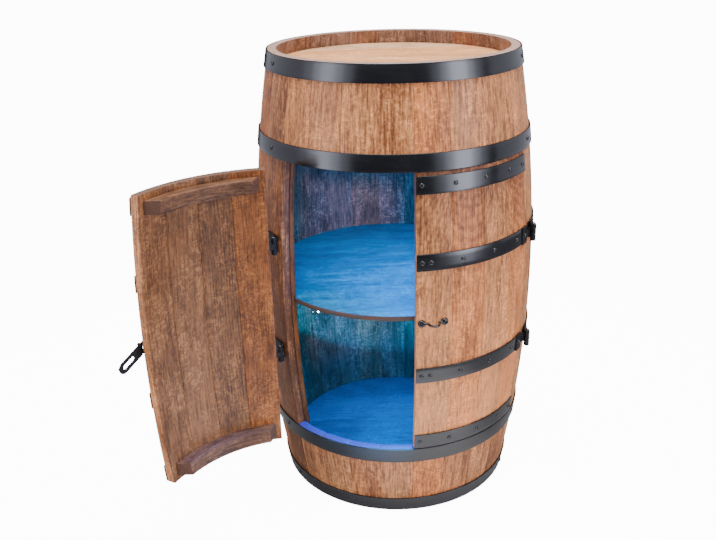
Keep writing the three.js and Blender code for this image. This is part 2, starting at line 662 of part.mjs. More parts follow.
function haspLeaf() {
  const [bottom, top] = haspLevel();
  const start = HASP_KNUCKLE_REACH + HASP_KNUCKLE_RADIUS + RUNNING_GAP;
  const half = HASP_WIDTH / 2;
  const slotHalf = (HASP_SLOT_LENGTH - HASP_SLOT_WIDTH) / 2;
  const slotRadius = HASP_SLOT_WIDTH / 2;
  const outline = new THREE.Shape();
  outline.moveTo(start, -half);
  outline.lineTo(HASP_TIP_REACH - half, -half);
  outline.absarc(HASP_TIP_REACH - half, 0, half, radians(-QUARTER_TURN), radians(QUARTER_TURN), false);
  outline.lineTo(start, half);
  const slot = new THREE.Path();
  slot.absarc(HASP_SLOT_REACH - slotHalf, 0, slotRadius, radians(QUARTER_TURN), radians(-QUARTER_TURN), false);
  slot.absarc(HASP_SLOT_REACH + slotHalf, 0, slotRadius, radians(-QUARTER_TURN), radians(QUARTER_TURN), false);
  outline.holes.push(slot);
  const [fromY, toY] = haspKnuckleSpan(1);
  const tongue = rectangle(HASP_KNUCKLE_REACH, start + OVERRUN, fromY, toY);
  const knob = upright(HASP_KNOB_RADIUS, bottom + HASP_THICKNESS / 2, top + HASP_KNOB_HEIGHT);
  const pieces = [
    extrudedUp(outline, bottom, top),
    extrudedUp(tongue, bottom, top),
    haspKnuckle(fromY, toY, HASP_KNUCKLE_RADIUS),
    knob.translate(HASP_TIP_REACH - HASP_KNOB_INSET, 0, 0),
  ];
  return geometryOf(joined(pieces).subtract(haspPinBore()));
}

// Staple: a rod with a hump that stands through the hasp's slot, held by a round screw at each end.
function staple() {
  const centreAngle = stapleAngle();
  const rest = STAPLE_WIRE_RADIUS + JOINT_GAP;
  const end = STAPLE_SPAN / 2;
  const foot = STAPLE_HUMP / 2;
  const peak = rest + (STAPLE_REACH - STAPLE_WIRE_RADIUS) / BEZIER_PEAK_SHARE;
  const path = new THREE.CurvePath();
  path.add(new THREE.LineCurve3(new THREE.Vector3(-end, 0, rest), new THREE.Vector3(-foot, 0, rest)));
  path.add(new THREE.CubicBezierCurve3(
    new THREE.Vector3(-foot, 0, rest),
    new THREE.Vector3(-foot, 0, peak),
    new THREE.Vector3(foot, 0, peak),
    new THREE.Vector3(foot, 0, rest),
  ));
  path.add(new THREE.LineCurve3(new THREE.Vector3(foot, 0, rest), new THREE.Vector3(end, 0, rest)));
  const section = new THREE.Shape();
  section.absarc(0, 0, STAPLE_WIRE_RADIUS, 0, radians(FULL_TURN), false);
  const rod = new THREE.ExtrudeGeometry(section, {
    steps: STAPLE_STEPS,
    extrudePath: path,
    curveSegments: STAPLE_SECTION_STEPS,
  });
  rod.applyMatrix4(surfaceFrame(centreAngle, LATCH_HEIGHT, 0));
  const eyes = [-1, 1].map((direction) => {
    const eye = new THREE.CylinderGeometry(
      STAPLE_EYE_RADIUS * SCREW_TOP_SHARE, STAPLE_EYE_RADIUS, STAPLE_EYE_HEIGHT, SMALL_SIDES);
    eye.rotateX(radians(QUARTER_TURN)).translate(0, 0, JOINT_GAP + STAPLE_EYE_HEIGHT / 2);
    const angle = centreAngle + (direction * THREE.MathUtils.radToDeg(end / BELLY_RADIUS));
    return eye.applyMatrix4(surfaceFrame(angle, LATCH_HEIGHT, 0));
  });
  return geometryOf(joined([rod, ...eyes]));
}

function pivotAngle() {
  return -THREE.MathUtils.radToDeg(LATCH_PIVOT_INSET / BELLY_RADIUS);
}

function stapleAngle() {
  return pivotAngle() + THREE.MathUtils.radToDeg(HASP_SLOT_REACH / BELLY_RADIUS);
}

function named(name, geometry, material) {
  const mesh = new THREE.Mesh(geometry, material);
  mesh.name = name;
  return mesh;
}

// The fixed barrel: staves, heads, hoops, shelf, battens, hinge pins and lighting.
function barrelBody() {
  const body = new THREE.Group();
  for (let i = 0; i < BACK_PIECE_COUNT; i += 1) {
    const from = DOOR_ANGLE + i * BACK_PIECE_ANGLE;
    const to = from + BACK_PIECE_ANGLE;
    let staves = stavesBetween(from, to, STAVES_PER_BACK_PIECE, 0, BARREL_HEIGHT);
    const holdsInlet = from < HALF_TURN && to > HALF_TURN;
    if (holdsInlet) staves = geometryOf(solidOf(staves).subtract(grommetHole()));
    body.add(named(`back_staves_${i + 1}`, staves, oak));
  }
  const frontCount = 2 * STAVES_PER_DOOR;
  const frontUpper = stavesBetween(-DOOR_ANGLE, DOOR_ANGLE, frontCount, OPENING_TOP, BARREL_HEIGHT);
  const frontLower = stavesBetween(-DOOR_ANGLE, DOOR_ANGLE, frontCount, 0, OPENING_BOTTOM);
  body.add(named('front_upper_staves', frontUpper, oak));
  body.add(named('front_lower_staves', frontLower, oak));
  body.add(named('top_head', head(TOP_HEAD_TOP), paleOak));
  body.add(named('bottom_head', head(BOTTOM_HEAD_TOP), shelfBoard));
  body.add(named('middle_shelf', middleShelf(), shelfBoard));
  const topHoopHeight = BARREL_HEIGHT - HOOP_WIDTH / 2;
  const bottomHoopHeight = BOTTOM_HOOP_RISE + HOOP_WIDTH / 2;
  body.add(named('top_hoop', wholeHoop(topHoopHeight, TOP_HOOP_SCREW_SHARES), blackSteel));
  body.add(named('upper_hoop', wholeHoop(UPPER_HOOP_HEIGHT, HOOP_SCREW_SHARES), blackSteel));
  body.add(named('lower_hoop', wholeHoop(LOWER_HOOP_HEIGHT, HOOP_SCREW_SHARES), blackSteel));
  body.add(named('bottom_hoop', wholeHoop(bottomHoopHeight, HOOP_SCREW_SHARES), blackSteel));
  body.add(named('upper_middle_hoop', middleHoop(UPPER_HINGE_HEIGHT), blackSteel));
  body.add(named('lower_middle_hoop', middleHoop(LOWER_HINGE_HEIGHT), blackSteel));
  body.add(named('left_upright_batten', jambBattenArc(-1, 0), darkOak));
  body.add(named('right_upright_batten', jambBattenArc(1, 0), darkOak));
  body.add(named('left_upper_hinge_pin', hingePin(UPPER_HINGE_HEIGHT, -1), blackScrew));
  body.add(named('left_lower_hinge_pin', hingePin(LOWER_HINGE_HEIGHT, -1), blackScrew));
  body.add(named('right_upper_hinge_pin', hingePin(UPPER_HINGE_HEIGHT, 1), blackScrew));
  body.add(named('right_lower_hinge_pin', hingePin(LOWER_HINGE_HEIGHT, 1), blackScrew));
  CLEAT_SHARES.forEach((share, i) => {
    body.add(named(`shelf_cleat_${i + 1}`, shelfCleat(share), darkOak));
  });
  const ceiling = TOP_HEAD_TOP - HEAD_THICKNESS;
  const upperStripRadius = radiusAt(TOP_HEAD_TOP) - STAVE_THICKNESS - STRIP_INSET;
  const lowerStripRadius = radiusAt(SHELF_BOTTOM) - STAVE_THICKNESS - CLEAT_DEPTH - STRIP_INSET;
  body.add(named('upper_light_strip', lightStripUnder(ceiling, upperStripRadius), lightStrip));
  body.add(named('lower_light_strip', lightStripUnder(SHELF_BOTTOM, lowerStripRadius), lightStrip));
  body.add(named('light_controller', controllerBox(), blackPlastic));
  body.add(named('cable_grommet', cableGrommet(), blackPlastic));
  return body;
}

// A door in its shut place: staves, straps with hinge leaves, and inner battens.
function doorPieces(side, doorSide) {
  const pieces = [];
  for (let i = 0; i < STAVES_PER_DOOR; i += 1) {
    pieces.push(named(`${side}_door_stave_${i + 1}`, doorStave(i, doorSide), oak));
  }
  STRAP_HEIGHTS.forEach((height, i) => {
    pieces.push(named(`${side}_door_strap_${i + 1}`, doorStrap(height, doorSide), blackSteel));
  });
  const topBatten = DOOR_TOP - BATTEN_INSET - BATTEN_HEIGHT;
  const bottomBatten = DOOR_BOTTOM + BATTEN_INSET;
  pieces.push(named(`${side}_door_top_batten`, doorBatten(topBatten, doorSide), darkOak));
  pieces.push(named(`${side}_door_bottom_batten`, doorBatten(bottomBatten, doorSide), darkOak));
  return pieces;
}

// The hasp in its drooping place on the left door.
function haspPieces() {
  const hasp = new THREE.Group();
  hasp.applyMatrix4(surfaceFrame(pivotAngle(), LATCH_HEIGHT, 0));
  hasp.add(named('hasp_pivot_screw', haspPivotScrew(), blackScrew));
  const swivel = new THREE.Group();
  swivel.rotation.z = radians(-HASP_DROOP_ANGLE);
  swivel.add(named('hasp_plate', haspPlate(), blackSteel));
  swivel.add(named('hasp_pin', haspPin(), blackScrew));
  swivel.add(named('hasp_leaf', haspLeaf(), blackSteel));
  hasp.add(swivel);
  return hasp;
}

// A door turned about its hinge axis by an angle.
function hungDoor(pieces, doorSide, openAngle) {
  const axisTurn = radians(doorSide * HINGE_AXIS_ANGLE);
  const axisX = HINGE_AXIS_RADIUS * Math.sin(axisTurn);
  const axisY = -HINGE_AXIS_RADIUS * Math.cos(axisTurn);
  const hanging = new THREE.Group();
  hanging.position.set(-axisX, -axisY, 0);
  hanging.add(...pieces);
  const door = new THREE.Group();
  door.position.set(axisX, axisY, 0);
  door.rotation.z = radians(doorSide * openAngle);
  door.add(hanging);
  return door;
}

// The origin is on the floor, in the middle of the cabinet as it stands with its left door open.
function stood(cabinet) {
  const box = new THREE.Box3().setFromObject(cabinet, true);
  const centre = box.getCenter(new THREE.Vector3());
  cabinet.position.set(-centre.x, -centre.y, -box.min.z);
  return cabinet;
}

const group = new THREE.Group();
group.add(barrelBody());
group.add(hungDoor([...doorPieces('left', -1), haspPieces()], -1, LEFT_DOOR_OPEN_ANGLE));
group.add(hungDoor([...doorPieces('right', 1), named('staple', staple(), blackSteel)], 1, 0));
stood(group);

export default group;
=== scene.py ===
"""Barrel bar cabinet: oak staves, black steel hoops, two curved doors, a shelf and blue light inside.

Lengths are in metres. Angles about the barrel's axis start at the front (-Y) and grow towards +X.
"""

import functools
import json
import math
from collections import namedtuple

import bpy
import numpy as np
from mathutils import Matrix, Vector


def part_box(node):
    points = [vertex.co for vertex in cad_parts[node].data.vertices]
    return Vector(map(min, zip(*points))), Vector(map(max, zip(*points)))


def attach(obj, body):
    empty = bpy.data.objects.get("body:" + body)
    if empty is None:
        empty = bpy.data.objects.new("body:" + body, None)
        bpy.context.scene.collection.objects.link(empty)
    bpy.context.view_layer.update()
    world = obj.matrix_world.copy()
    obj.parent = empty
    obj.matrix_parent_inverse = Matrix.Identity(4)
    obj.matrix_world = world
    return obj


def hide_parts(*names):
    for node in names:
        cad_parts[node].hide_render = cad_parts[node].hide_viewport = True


bl_info = {
    "name": "Barrel bar cabinet",
    "version": (1, 0, 0),
    "blender": (4, 5, 0),
    "location": "View3D > Sidebar > Barrel cabinet",
    "description": "Builds an oak barrel cabinet piece by piece around its packed frame",
    "category": "Add Mesh",
}

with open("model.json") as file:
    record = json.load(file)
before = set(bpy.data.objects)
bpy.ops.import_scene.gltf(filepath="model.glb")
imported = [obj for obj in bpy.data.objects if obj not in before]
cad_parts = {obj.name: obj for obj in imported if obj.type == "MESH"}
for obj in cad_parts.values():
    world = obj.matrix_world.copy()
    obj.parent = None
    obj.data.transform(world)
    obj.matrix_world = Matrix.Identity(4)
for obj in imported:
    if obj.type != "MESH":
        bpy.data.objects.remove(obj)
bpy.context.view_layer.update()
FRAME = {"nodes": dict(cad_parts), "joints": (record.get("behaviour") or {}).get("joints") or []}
JOINTS = {joint["name"]: joint for joint in FRAME["joints"]}
HEAD_LOW, HEAD_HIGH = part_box("top_head")
AXIS = np.array([(HEAD_LOW.x + HEAD_HIGH.x) / 2, (HEAD_LOW.y + HEAD_HIGH.y) / 2, 0.0])
LEFT_PIN = np.array(JOINTS["left_door_hinge"]["pos_m"])
LEFT_TURN = math.radians(JOINTS["left_door_hinge"]["range_deg"][0])
SIDES = {"left": -1, "right": 1}
FULL_TURN = 2 * math.pi

# How finely the surfaces are divided, and the angle from which an edge counts as sharp
CORNER_POINTS, EASE_POINTS = 4, 3
BOARD_ROWS, BOARD_COLUMNS = 26, 8
BAND_ROWS, BAND_ROWS_PER_RADIAN, BAND_COLUMNS = 12, 32, 4
RING_STEPS, DISC_STEPS, DISC_ROWS = 200, 25, 2
TURNED_STEPS, SCREW_STEPS, ROD_STEPS, INLET_STEPS = 24, 20, 16, 40
SHELF_STEPS, SHELF_STEPS_PER_RADIAN = 8, 40
STRIP_STEPS, TAIL_STEPS = 120, 12
LEAF_STEPS, PLATE_STEPS, SLOT_STEPS = 6, 17, 16
LOOP_STEPS, LEG_STEPS = 41, 5
SHARP_ANGLE = math.radians(38)
BEVEL_SEGMENTS = 2

# The loops of a board that show end grain: its flat ends alone, or with the first worn loop
ENDS = (0, -1)
WORN_ENDS = (0, 1, -2, -1)

# How pale each board is, from 0 to 1 or a little past, and how much its tone changes up its height
BACK_TONES = (0.75, 0.55, 0.4, 0.8, 0.35, 0.6, 0.5, 0.5, 0.4, 1.0, 0.8, 0.2, 0.3, 0.7, 0.6, 0.15, -0.2, -0.6)
BACK_LIFTS = {17: -1.5}
UPPER_TONES = (0.75, 0.6, 0.6, 0.1, 0.5, 0.6, 0.55, 0.65)
LOWER_TONES = (0.3, 0.5, 0.2, 0.55, 0.4, 0.1, 0.25, 0.0)
DOOR_TONES = {"left": (0.5, 0.75, 0.2, 0.5), "right": (0.45, 0.35, 0.6, 0.55)}
# The doors' lifts paint light and shade: each door is painted brighter towards the bottom and darker towards
# the top.
DOOR_PAINTED_LIGHT_LIFTS = {"left": 0.3, "right": 2.1}
SHELF_BOARD = (0.3, 0.9, 0.4)
SEEDS = {
    "back": 100, "upper": 200, "lower": 300, "top head": 400, "bottom head": 420,
    "cleats": 500, "uprights": 520, "doors": 600, "door battens": 640,
}

# Screws, as shares of the way round the barrel, or of the way from the meeting line to a door's hinges
HOOP_SCREW_SHARES = (0.17, 0.5, 0.82)
TOP_HOOP_SCREW_SHARES = (0.183, 0.5, 0.806)
MIDDLE_HOOP_SCREW_SHARES = (0.185, 0.25, 0.375, 0.5, 0.625, 0.75, 0.815)
PLAIN_STRAP_SCREW_SHARES = (0.042, 0.272, 0.515, 0.756, 0.937)
HINGED_STRAP_SCREW_SHARES = (0.042, 0.1, 0.32, 0.575, 0.83)
CLEAT_SHARES = (1 / 9, 1 / 2, 8 / 9)

# Turned profiles as shares of a radius and a rise, from the outside to the middle
SCREW_DOME_SHARES = ((0.93, 0.45), (0.75, 0.78), (0.5, 0.96), (0.36, 1), (0.30, 0.62), (0.05, 0.55))
EYE_DOME_SHARES = ((0.93, 0.62), (0.72, 0.9), (0.5, 1), (0.42, 1), (0.34, 0.72), (0.05, 0.66))
KNUCKLES, KNUCKLE_END_SHARE, HASP_KNUCKLE_END_SHARE = 3, 0.9, 0.92
HEAD_EDGE_SHARE, LEAF_SINK_SHARE = 0.9995, 0.3

# A hinge pin's head: shares of the pin's radius, and rises in metres
PIN_HEAD_SHARES, PIN_HEAD_RISES = (1, 1.6, 1.5, 0.9), (0, 0, 0.001, 0.002)

# Turned profiles in metres: radius and rise. The edges' are counted from the flange's and the bore's radius
PIVOT_HEAD = ((0.0052, 0), (0.0055, 0.0008), (0.0045, 0.0020), (0.0026, 0.0025), (0.0018, 0.0015))
KNOB_TOP = ((0.003, 0.0035), (0.0025, 0.0046), (0.0015, 0.005))
DIODE_PROFILE = ((0.0015, 0.0001), (0.0015, 0.0007), (0.001, 0.0012), (0.0003, 0.0013))
FLANGE_EDGE = ((0, 0), (0, 0.0015), (-0.0012, 0.0028))
BORE_EDGE = ((0.001, 0.003), (0, 0.002))

# The loose end of the lower strip: angles past the strip's end, sag, and its diodes' places and brightness
TAIL_START, TAIL_END = 0.21, 0.01
TAIL_SAG, TAIL_SAG_POWER = 0.019, 0.7
DIODE_SHARES, DIODE_STRENGTHS = (0.1, 0.45, 0.8), (0.5, 50.0, 0.5)

# Noise in the oak: scales across, into and along the grain, detail, roughness and distortion, then the span
# of values that is spread out from 0 to 1
OAK_MARKS = {
    "fibre": (((430, 430, 28), 3.0, 0.6), (0.36, 0.64)),
    "streak": (((120, 120, 8), 3.0, 0.6), (0.36, 0.64)),
    "mottle": (((230, 230, 150), 3.0, 0.65), (0.36, 0.64)),
    "cloud": (((24, 24, 15), 3.0, 0.6), (0.40, 0.62)),
    "pores": (((620, 620, 60), 2.0, 0.6), (0.54, 0.68)),
    "patch": (((19, 19, 9), 2.0, 0.5, 0.3), (0.40, 0.54)),
    "stain": (((17, 17, 7), 3.0, 0.62), (0.47, 0.66)),
    "dots": (((700, 700, 700), 2.0, 0.6), (0.36, 0.64)),
}
TONE_WEIGHTS = {"fibre": 0.26, "streak": 0.11, "mottle": 0.16, "rings": 0.10, "cloud": 0.13, "board": 0.22}
TONE_SPAN, WARM_SPAN = (0.05, 0.95), (0.55, 1.0)
BEND_NOISE, BEND = ((7, 7, 2.2), 2.0, 0.55), 0.05
CURL_NOISE, CURL_SPAN = ((42, 42, 66), 1.0, 0.5, 1.8), (0.016, 0.075)
PITH_SPREAD, PITH_DEPTH, TAPER, RING_WAVES = 0.14, 0.015, 0.07, 1300.0
BOARD_SHIFT = (3.1, 2.3, 0.0)
PALE, ORANGE = (1.75, 1.90, 2.05), (1.12, 0.86, 0.62)
GREY, PORE_SHADE = (0.70, 0.75, 0.76), (0.50, 0.42, 0.36)
PORE_SHARE, DOT_SHARE, OUTER_FLECK_SHARE = 0.6, 0.6, 0.55
OAK_ROUGHNESS, FIBRE_ROUGHNESS, FIBRE_HEIGHT, PORE_HEIGHT = 0.44, 0.16, 0.5, -0.8

# The zones of the inner faces' tint, which paints the blue light inside and the shade near the floor into the
# colour, and where it changes: the depth into a board, and the heights at the floor, the shelf and the rim
TINT_ZONES = ("Inside", "Low", "Foot", "Rim")
INNER_SPAN, FOOT_SPAN, SHELF_SPAN, RIM_SPAN = (0.011, 0.0145), (0.08, 0.17), (0.386, 0.392), (0.757, 0.765)

# Noise in the steel: rolling lines along the band, smudges, and the dust that shows in them
LINE_NOISE, SMUDGE_NOISE = ((900, 900, 12), 3.0, 0.6), ((38, 38, 14), 3.0, 0.6)
DUST, DUST_SPAN, DUST_SHARE = (0.016, 0.016, 0.018), (0.4, 0.7), 0.35
LINE_ROUGHNESS, SMUDGE_ROUGHNESS, LINE_HEIGHT, LINE_BUMP = 0.05, 0.06, 0.5, 0.12

# How deep the bumps of wood, paint and plastic are, the plastic's texture, and the diodes along a strip
GRAIN_DEPTH, PAINT_DEPTH, SPARK_DEPTH = 0.0006, 0.0003, 0.0002
SPARK_NOISE, SPARK_BUMP = ((1400, 1400, 1400), 2.0), 0.15
DIODE_WAVES, DIODE_POWER = 180.0, 6.0

# The floor: painted shade, grey near the cabinet and darker far from it, a painted pool of white light in
# front of it, and the spans of their fades
WHITE, NEAR_SHADE_GREY, FAR_SHADE_GREY = (1.0, 1.0, 1.0), (0.25, 0.25, 0.25), (0.1, 0.1, 0.1)
FLOOR_REACH, SHADE_GREY_SPAN = 14.0, (0.7, 1.4)
LIGHT_POOL_PLACE, LIGHT_POOL_SPAN = (0.2, -0.52, 0.0), (0.18, 0.5)
FLOOR_DIMMER, AMBIENT, VIEW_END = 1.5, 0.15, 50

# Studio lights: bearing and rise in degrees, distance, width, depth, power setting, share of it, tint, and
# the rays that don't see it
COOL = (0.93, 0.95, 1.12)
STUDIO = {
    "key light": (-4.8, 19.3, 6.0, 0.5, 0.5, "key_power", 1.0, WHITE, "glossy"),
    "left light 1": (-62, 8, 1.90, 1.5, 1.6, "side_power", 0.6, COOL, "camera"),
    "left light 2": (-62, 8, 1.89, 0.9, 1.6, "side_power", 0.6, COOL, "camera"),
    "left light 3": (-62, 8, 1.88, 0.4, 1.6, "side_power", 0.3, COOL, "camera"),
    "right light 1": (46, 8, 1.90, 1.6, 1.6, "side_power", 0.55, COOL, "camera"),
    "right light 2": (46, 8, 1.89, 1.0, 1.6, "side_power", 0.75, COOL, "camera"),
    "right light 3": (46, 8, 1.88, 0.5, 1.6, "side_power", 0.75, COOL, "camera"),
    "left card": (-118, 8, 2.0, 2.7, 1.6, "card_power", 1.0, COOL, "diffuse"),
    "right card": (112, 8, 2.0, 2.7, 1.6, "card_power", 1.0, COOL, "diffuse"),
    "back left light": (-140, 12, 3.0, 1.6, 1.6, "back_power", 1.5, WHITE, "glossy"),
    "back right light": (150, 20, 3.0, 1.6, 1.6, "back_power", 1.0, WHITE, "glossy"),
}
LIGHT_AIM, OVERHEAD_AIM = (0, 0, 0.42), (0, -0.3, 0.42)
OVERHEAD_DISTANCE, OVERHEAD_SIZE = 2.5, 2.0
GLOW_PLACE, GLOW_SIZE, GLOW_SPREAD = (0.02, -0.08), 0.2, math.radians(130)
UPPER_GLOW_DROP, LOWER_GLOW_DROP = 0.03, 0.01
CORNER_PLACE, CORNER_BACK = (-0.165, -0.080, 0.372), (-0.18, -0.785, -0.592)
CORNER_CONE, CORNER_BLEND, CORNER_SIZE = math.radians(156), 0.08, 0.004


# Sizes and colours that a user can change


def length(name, description, default):
    """A length in metres, shown in the scene's own unit."""
    return bpy.props.FloatProperty(
        name=name, description=description, default=default, unit="LENGTH", precision=4
    )


def angle(name, description, degrees):
    """An angle, kept in radians and shown in degrees."""
    return bpy.props.FloatProperty(
        name=name, description=description, default=math.radians(degrees), subtype="ANGLE"
    )


def colour(name, description, default):
    """A linear colour."""
    return bpy.props.FloatVectorProperty(
        name=name, description=description, default=default, subtype="COLOR", size=3, min=0, soft_max=1
    )


def amount(name, description, default):
    """A plain number."""
    return bpy.props.FloatProperty(name=name, description=description, default=default)


def count(name, description, default):
    """A whole number."""
    return bpy.props.IntProperty(name=name, description=description, default=default)


class BarrelSizes(bpy.types.PropertyGroup):
    """The shell: staves, heads, shelf and battens."""

    height: length("Height", "From the floor to the rim", 0.8)
    belly_radius: length("Belly radius", "Outer radius at half height", 0.25)
    end_radius: length("End radius", "Outer radius at the floor and at the rim", 0.2125)
    wall: length("Wall", "Thickness of a stave", 0.015)
    softness: length("Softness", "Radius that the edges of the boards are worn to", 0.0012)
    joint: length("Joint", "Clearance of what is let into the shell", 0.0004)
    press: length("Press", "How far neighbouring staves press into each other", 0.0001)
    door_angle: angle("Door angle", "From the meeting line to the edge of the opening", 56.5)
    back_staves: count("Back staves", "Full-height staves", 18)
    door_staves: count("Door staves", "Staves in each door", 4)
    opening_bottom: length("Opening bottom", "Height of the lower edge of the opening", 0.146)
    opening_top: length("Opening top", "Height of the upper edge of the opening", 0.6415)
    head_thickness: length("Head thickness", "Thickness of the top and bottom heads", 0.018)
    head_softness: length("Head softness", "Radius of the edges of the heads' boards", 0.0004)
    top_head: length("Top head", "Height of the top face of the top head", 0.776)
    bottom_head: length("Bottom head", "Height of the top face of the bottom head", 0.04)
    head_boards: count("Head boards", "Boards in each head", 5)
    shelf_top: length("Shelf top", "Height of the top face of the shelf", 0.398)
    shelf_thickness: length("Shelf thickness", "Thickness of the shelf", 0.009)
    shelf_softness: length("Shelf softness", "Radius of the shelf's edges", 0.0015)
    shelf_grain: amount("Shelf grain", "How much finer the shelf's grain is than the staves'", 0.5)
    shelf_gap: length("Shelf gap", "From the shelf's edge to the wall", 0.006)
    inner_gap: length("Inner gap", "From the wall's inner face to what stands against it", 0.001)
    upright_depth: length("Upright depth", "Depth of the upright battens beside the opening", 0.010)
    upright_overlap: length("Upright overlap", "How far the upright battens pass the opening", 0.009)
    cleat_depth: length("Cleat depth", "Depth of the cleats that carry the shelf", 0.022)
    cleat_height: length("Cleat height", "Height of the cleats that carry the shelf", 0.02)


class HoopSizes(bpy.types.PropertyGroup):
    """The hoops and the door straps, with their screws."""

    width: length("Width", "Width of a hoop", 0.028)
    thickness: length("Thickness", "Thickness of a hoop", 0.0025)
    seat: length("Seat", "Gap between a hoop and the staves", 0.0004)
    softness: length("Softness", "Radius of a hoop's edges", 0.0006)
    upper: length("Upper hoop", "Height of the middle of the upper hoop", 0.6555)
    lower: length("Lower hoop", "Height of the middle of the lower hoop", 0.132)
    bottom_rise: length("Bottom rise", "From the floor to the bottom hoop", 0.002)
    screw_radius: length("Screw radius", "Radius of a screw head", 0.0041)
    screw_height: length("Screw height", "Height of a screw head", 0.0021)
    screw_sink: length("Screw sink", "How far a screw head is let into the steel", 0.0008)
    screw_rim: length("Screw rim", "Height of a screw head's upright rim", 0.0002)
    top_inset: length("Top strap inset", "From the door's top end to its top strap", 0.005)
    bottom_inset: length("Bottom strap inset", "From the door's bottom end to its bottom strap", 0.0005)
    end_inset: length("Strap end inset", "From the door's edge to the end of a strap", 0.0004)


class DoorSizes(bpy.types.PropertyGroup):
    """The doors, their battens and their hinges."""

    end_gap: length("End gap", "Gap above and below a door", 0.0015)
    edge_gap: length("Edge gap", "Gap beside a door", 0.0012)
    upper_hinge: length("Upper hinge", "Height of the middle of the upper hinges", 0.498)
    lower_hinge: length("Lower hinge", "Height of the middle of the lower hinges", 0.297)
    hinge_height: length("Hinge height", "Height of a hinge", 0.03)
    hinge_standoff: length("Hinge standoff", "From the belly's face to the hinge pins", 0.0095)
    hinge_offset: angle("Hinge offset", "From the edge of the opening to the hinge pins", 1.5)
    knuckle_radius: length("Knuckle radius", "Outer radius of a hinge's knuckles", 0.005)
    knuckle_gap: length("Knuckle gap", "Gap between two knuckles", 0.0003)
    knuckle_chamfer: length("Knuckle chamfer", "Height of the chamfer at a knuckle's ends", 0.0005)
    leaf_thickness: length("Leaf thickness", "Thickness of a hinge leaf", 0.002)
    leaf_arm: length("Leaf arm", "From the pin to where a leaf lies down", 0.012)
    leaf_length: length("Leaf length", "From the pin to the end of a leaf", 0.03)
    leaf_softness: length("Leaf softness", "Width of the bevel on a leaf's edges", 0.0003)
    pin_radius: length("Pin radius", "Radius of a hinge pin", 0.0025)
    pin_foot: length("Pin foot", "How far a pin stands out below its hinge", 0.0002)
    pin_gap: length("Pin gap", "From the hinge to the head of its pin", 0.0003)
    batten_height: length("Batten height", "Height of a door batten", 0.0225)
    batten_depth: length("Batten depth", "Depth of a door batten", 0.022)
    batten_inset: length("Batten inset", "From the door's end to its batten", 0.01)
    batten_edge: length("Batten edge", "From the door's edge to the end of its batten", 0.008)
    batten_slant: length("Batten slant", "How far a batten's end slopes back over its depth", 0.015)


class LatchSizes(bpy.types.PropertyGroup):
    """The hasp on the left door and the staple on the right door."""

    height: length("Height", "Height of the pivot and of the staple", 0.3935)
    pivot_inset: length("Pivot inset", "From the meeting line to the pivot screw", 0.02)
    width: length("Width", "Width of the hasp", 0.02)
    thickness: length("Thickness", "Thickness of the hasp's plate and leaf", 0.0022)
    gap: length("Gap", "Clearance between the latch's parts", 0.0003)
    softness: length("Softness", "Width of the bevel on the hasp's edges", 0.0003)
    spacer: length("Spacer", "From the door to the hasp", 0.004)
    spacer_radius: length("Spacer radius", "Radius of the spacer under the hasp", 0.007)
    pivot_radius: length("Pivot radius", "Radius of the pivot screw's shank", 0.0025)
    knuckle_reach: length("Knuckle reach", "From the pivot to the leaf's pin", 0.017)
    knuckle_radius: length("Knuckle radius", "Outer radius of the leaf's knuckles", 0.003)
    tongue_overlap: length("Tongue overlap", "How far a knuckle's tongue runs into the plate", 0.0005)
    pin_radius: length("Pin radius", "Radius of the leaf's pin", 0.0014)
    pin_proud: length("Pin proud", "How far the leaf's pin stands out at each end", 0.0001)
    slot_reach: length("Slot reach", "From the pivot to the middle of the slot", 0.049)
    slot_length: length("Slot length", "Length of the slot", 0.026)
    slot_width: length("Slot width", "Width of the slot", 0.008)
    tip_reach: length("Tip reach", "From the pivot to the leaf's tip", 0.07)
    knob_inset: length("Knob inset", "From the leaf's tip to the middle of its knob", 0.005)
    knob_foot: length("Knob foot", "From the leaf's back to the foot of its knob", 0.001)
    droop: angle("Droop", "How far the leaf hangs below level", 19)
    staple_span: length("Staple span", "Between the middles of the staple's two screws", 0.038)
    staple_hump: length("Staple hump", "Width of the staple's loop", 0.018)
    staple_reach: length("Staple reach", "From the door to the top of the loop", 0.017)
    staple_rod: length("Staple rod", "Radius of the staple's rod", 0.002)
    eye_radius: length("Eye radius", "Radius of the staple's screw heads", 0.0065)
    eye_height: length("Eye height", "Height of the staple's screw heads", 0.0045)
    eye_rim: length("Eye rim", "Height of the rim of the staple's screw heads", 0.0014)


class LampSizes(bpy.types.PropertyGroup):
    """The light strips and what feeds them."""

    strip_width: length("Strip width", "Width of a light strip", 0.01)
    strip_thickness: length("Strip thickness", "Thickness of a light strip", 0.0025)
    strip_inset: length("Strip inset", "From the wall or the cleats to a light strip", 0.008)
    strip_gap: length("Strip gap", "From the board above to a light strip", 0.0003)
    strip_slope: length("Strip slope", "Width of the slope along a strip's lower edges", 0.0008)
    strip_rise: length("Strip rise", "Height of the slope along a strip's lower edges", 0.0006)
    strip_start: angle("Strip start", "Where the strips end on both sides of the front", 42)
    tail_thickness: length("Tail thickness", "Thickness of the loose end, and its gap to the shelf", 0.001)
    controller_softness: length("Controller softness", "Width of the bevel on the controller", 0.0015)
    inlet_height: length("Inlet height", "Height of the cable inlet", 0.34)
    inlet_bore: length("Inlet bore", "Radius of the hole for the cable", 0.004)
    inlet_sleeve: length("Inlet sleeve", "Outer radius of the inlet's sleeve", 0.0065)
    inlet_depth: length("Inlet depth", "How far the sleeve reaches into the wall", 0.018)
    inlet_flange: length("Inlet flange", "Radius of the inlet's flange", 0.01)
    inlet_seat: length("Inlet seat", "From the stave's round face to the inlet's flange", 0.0013)


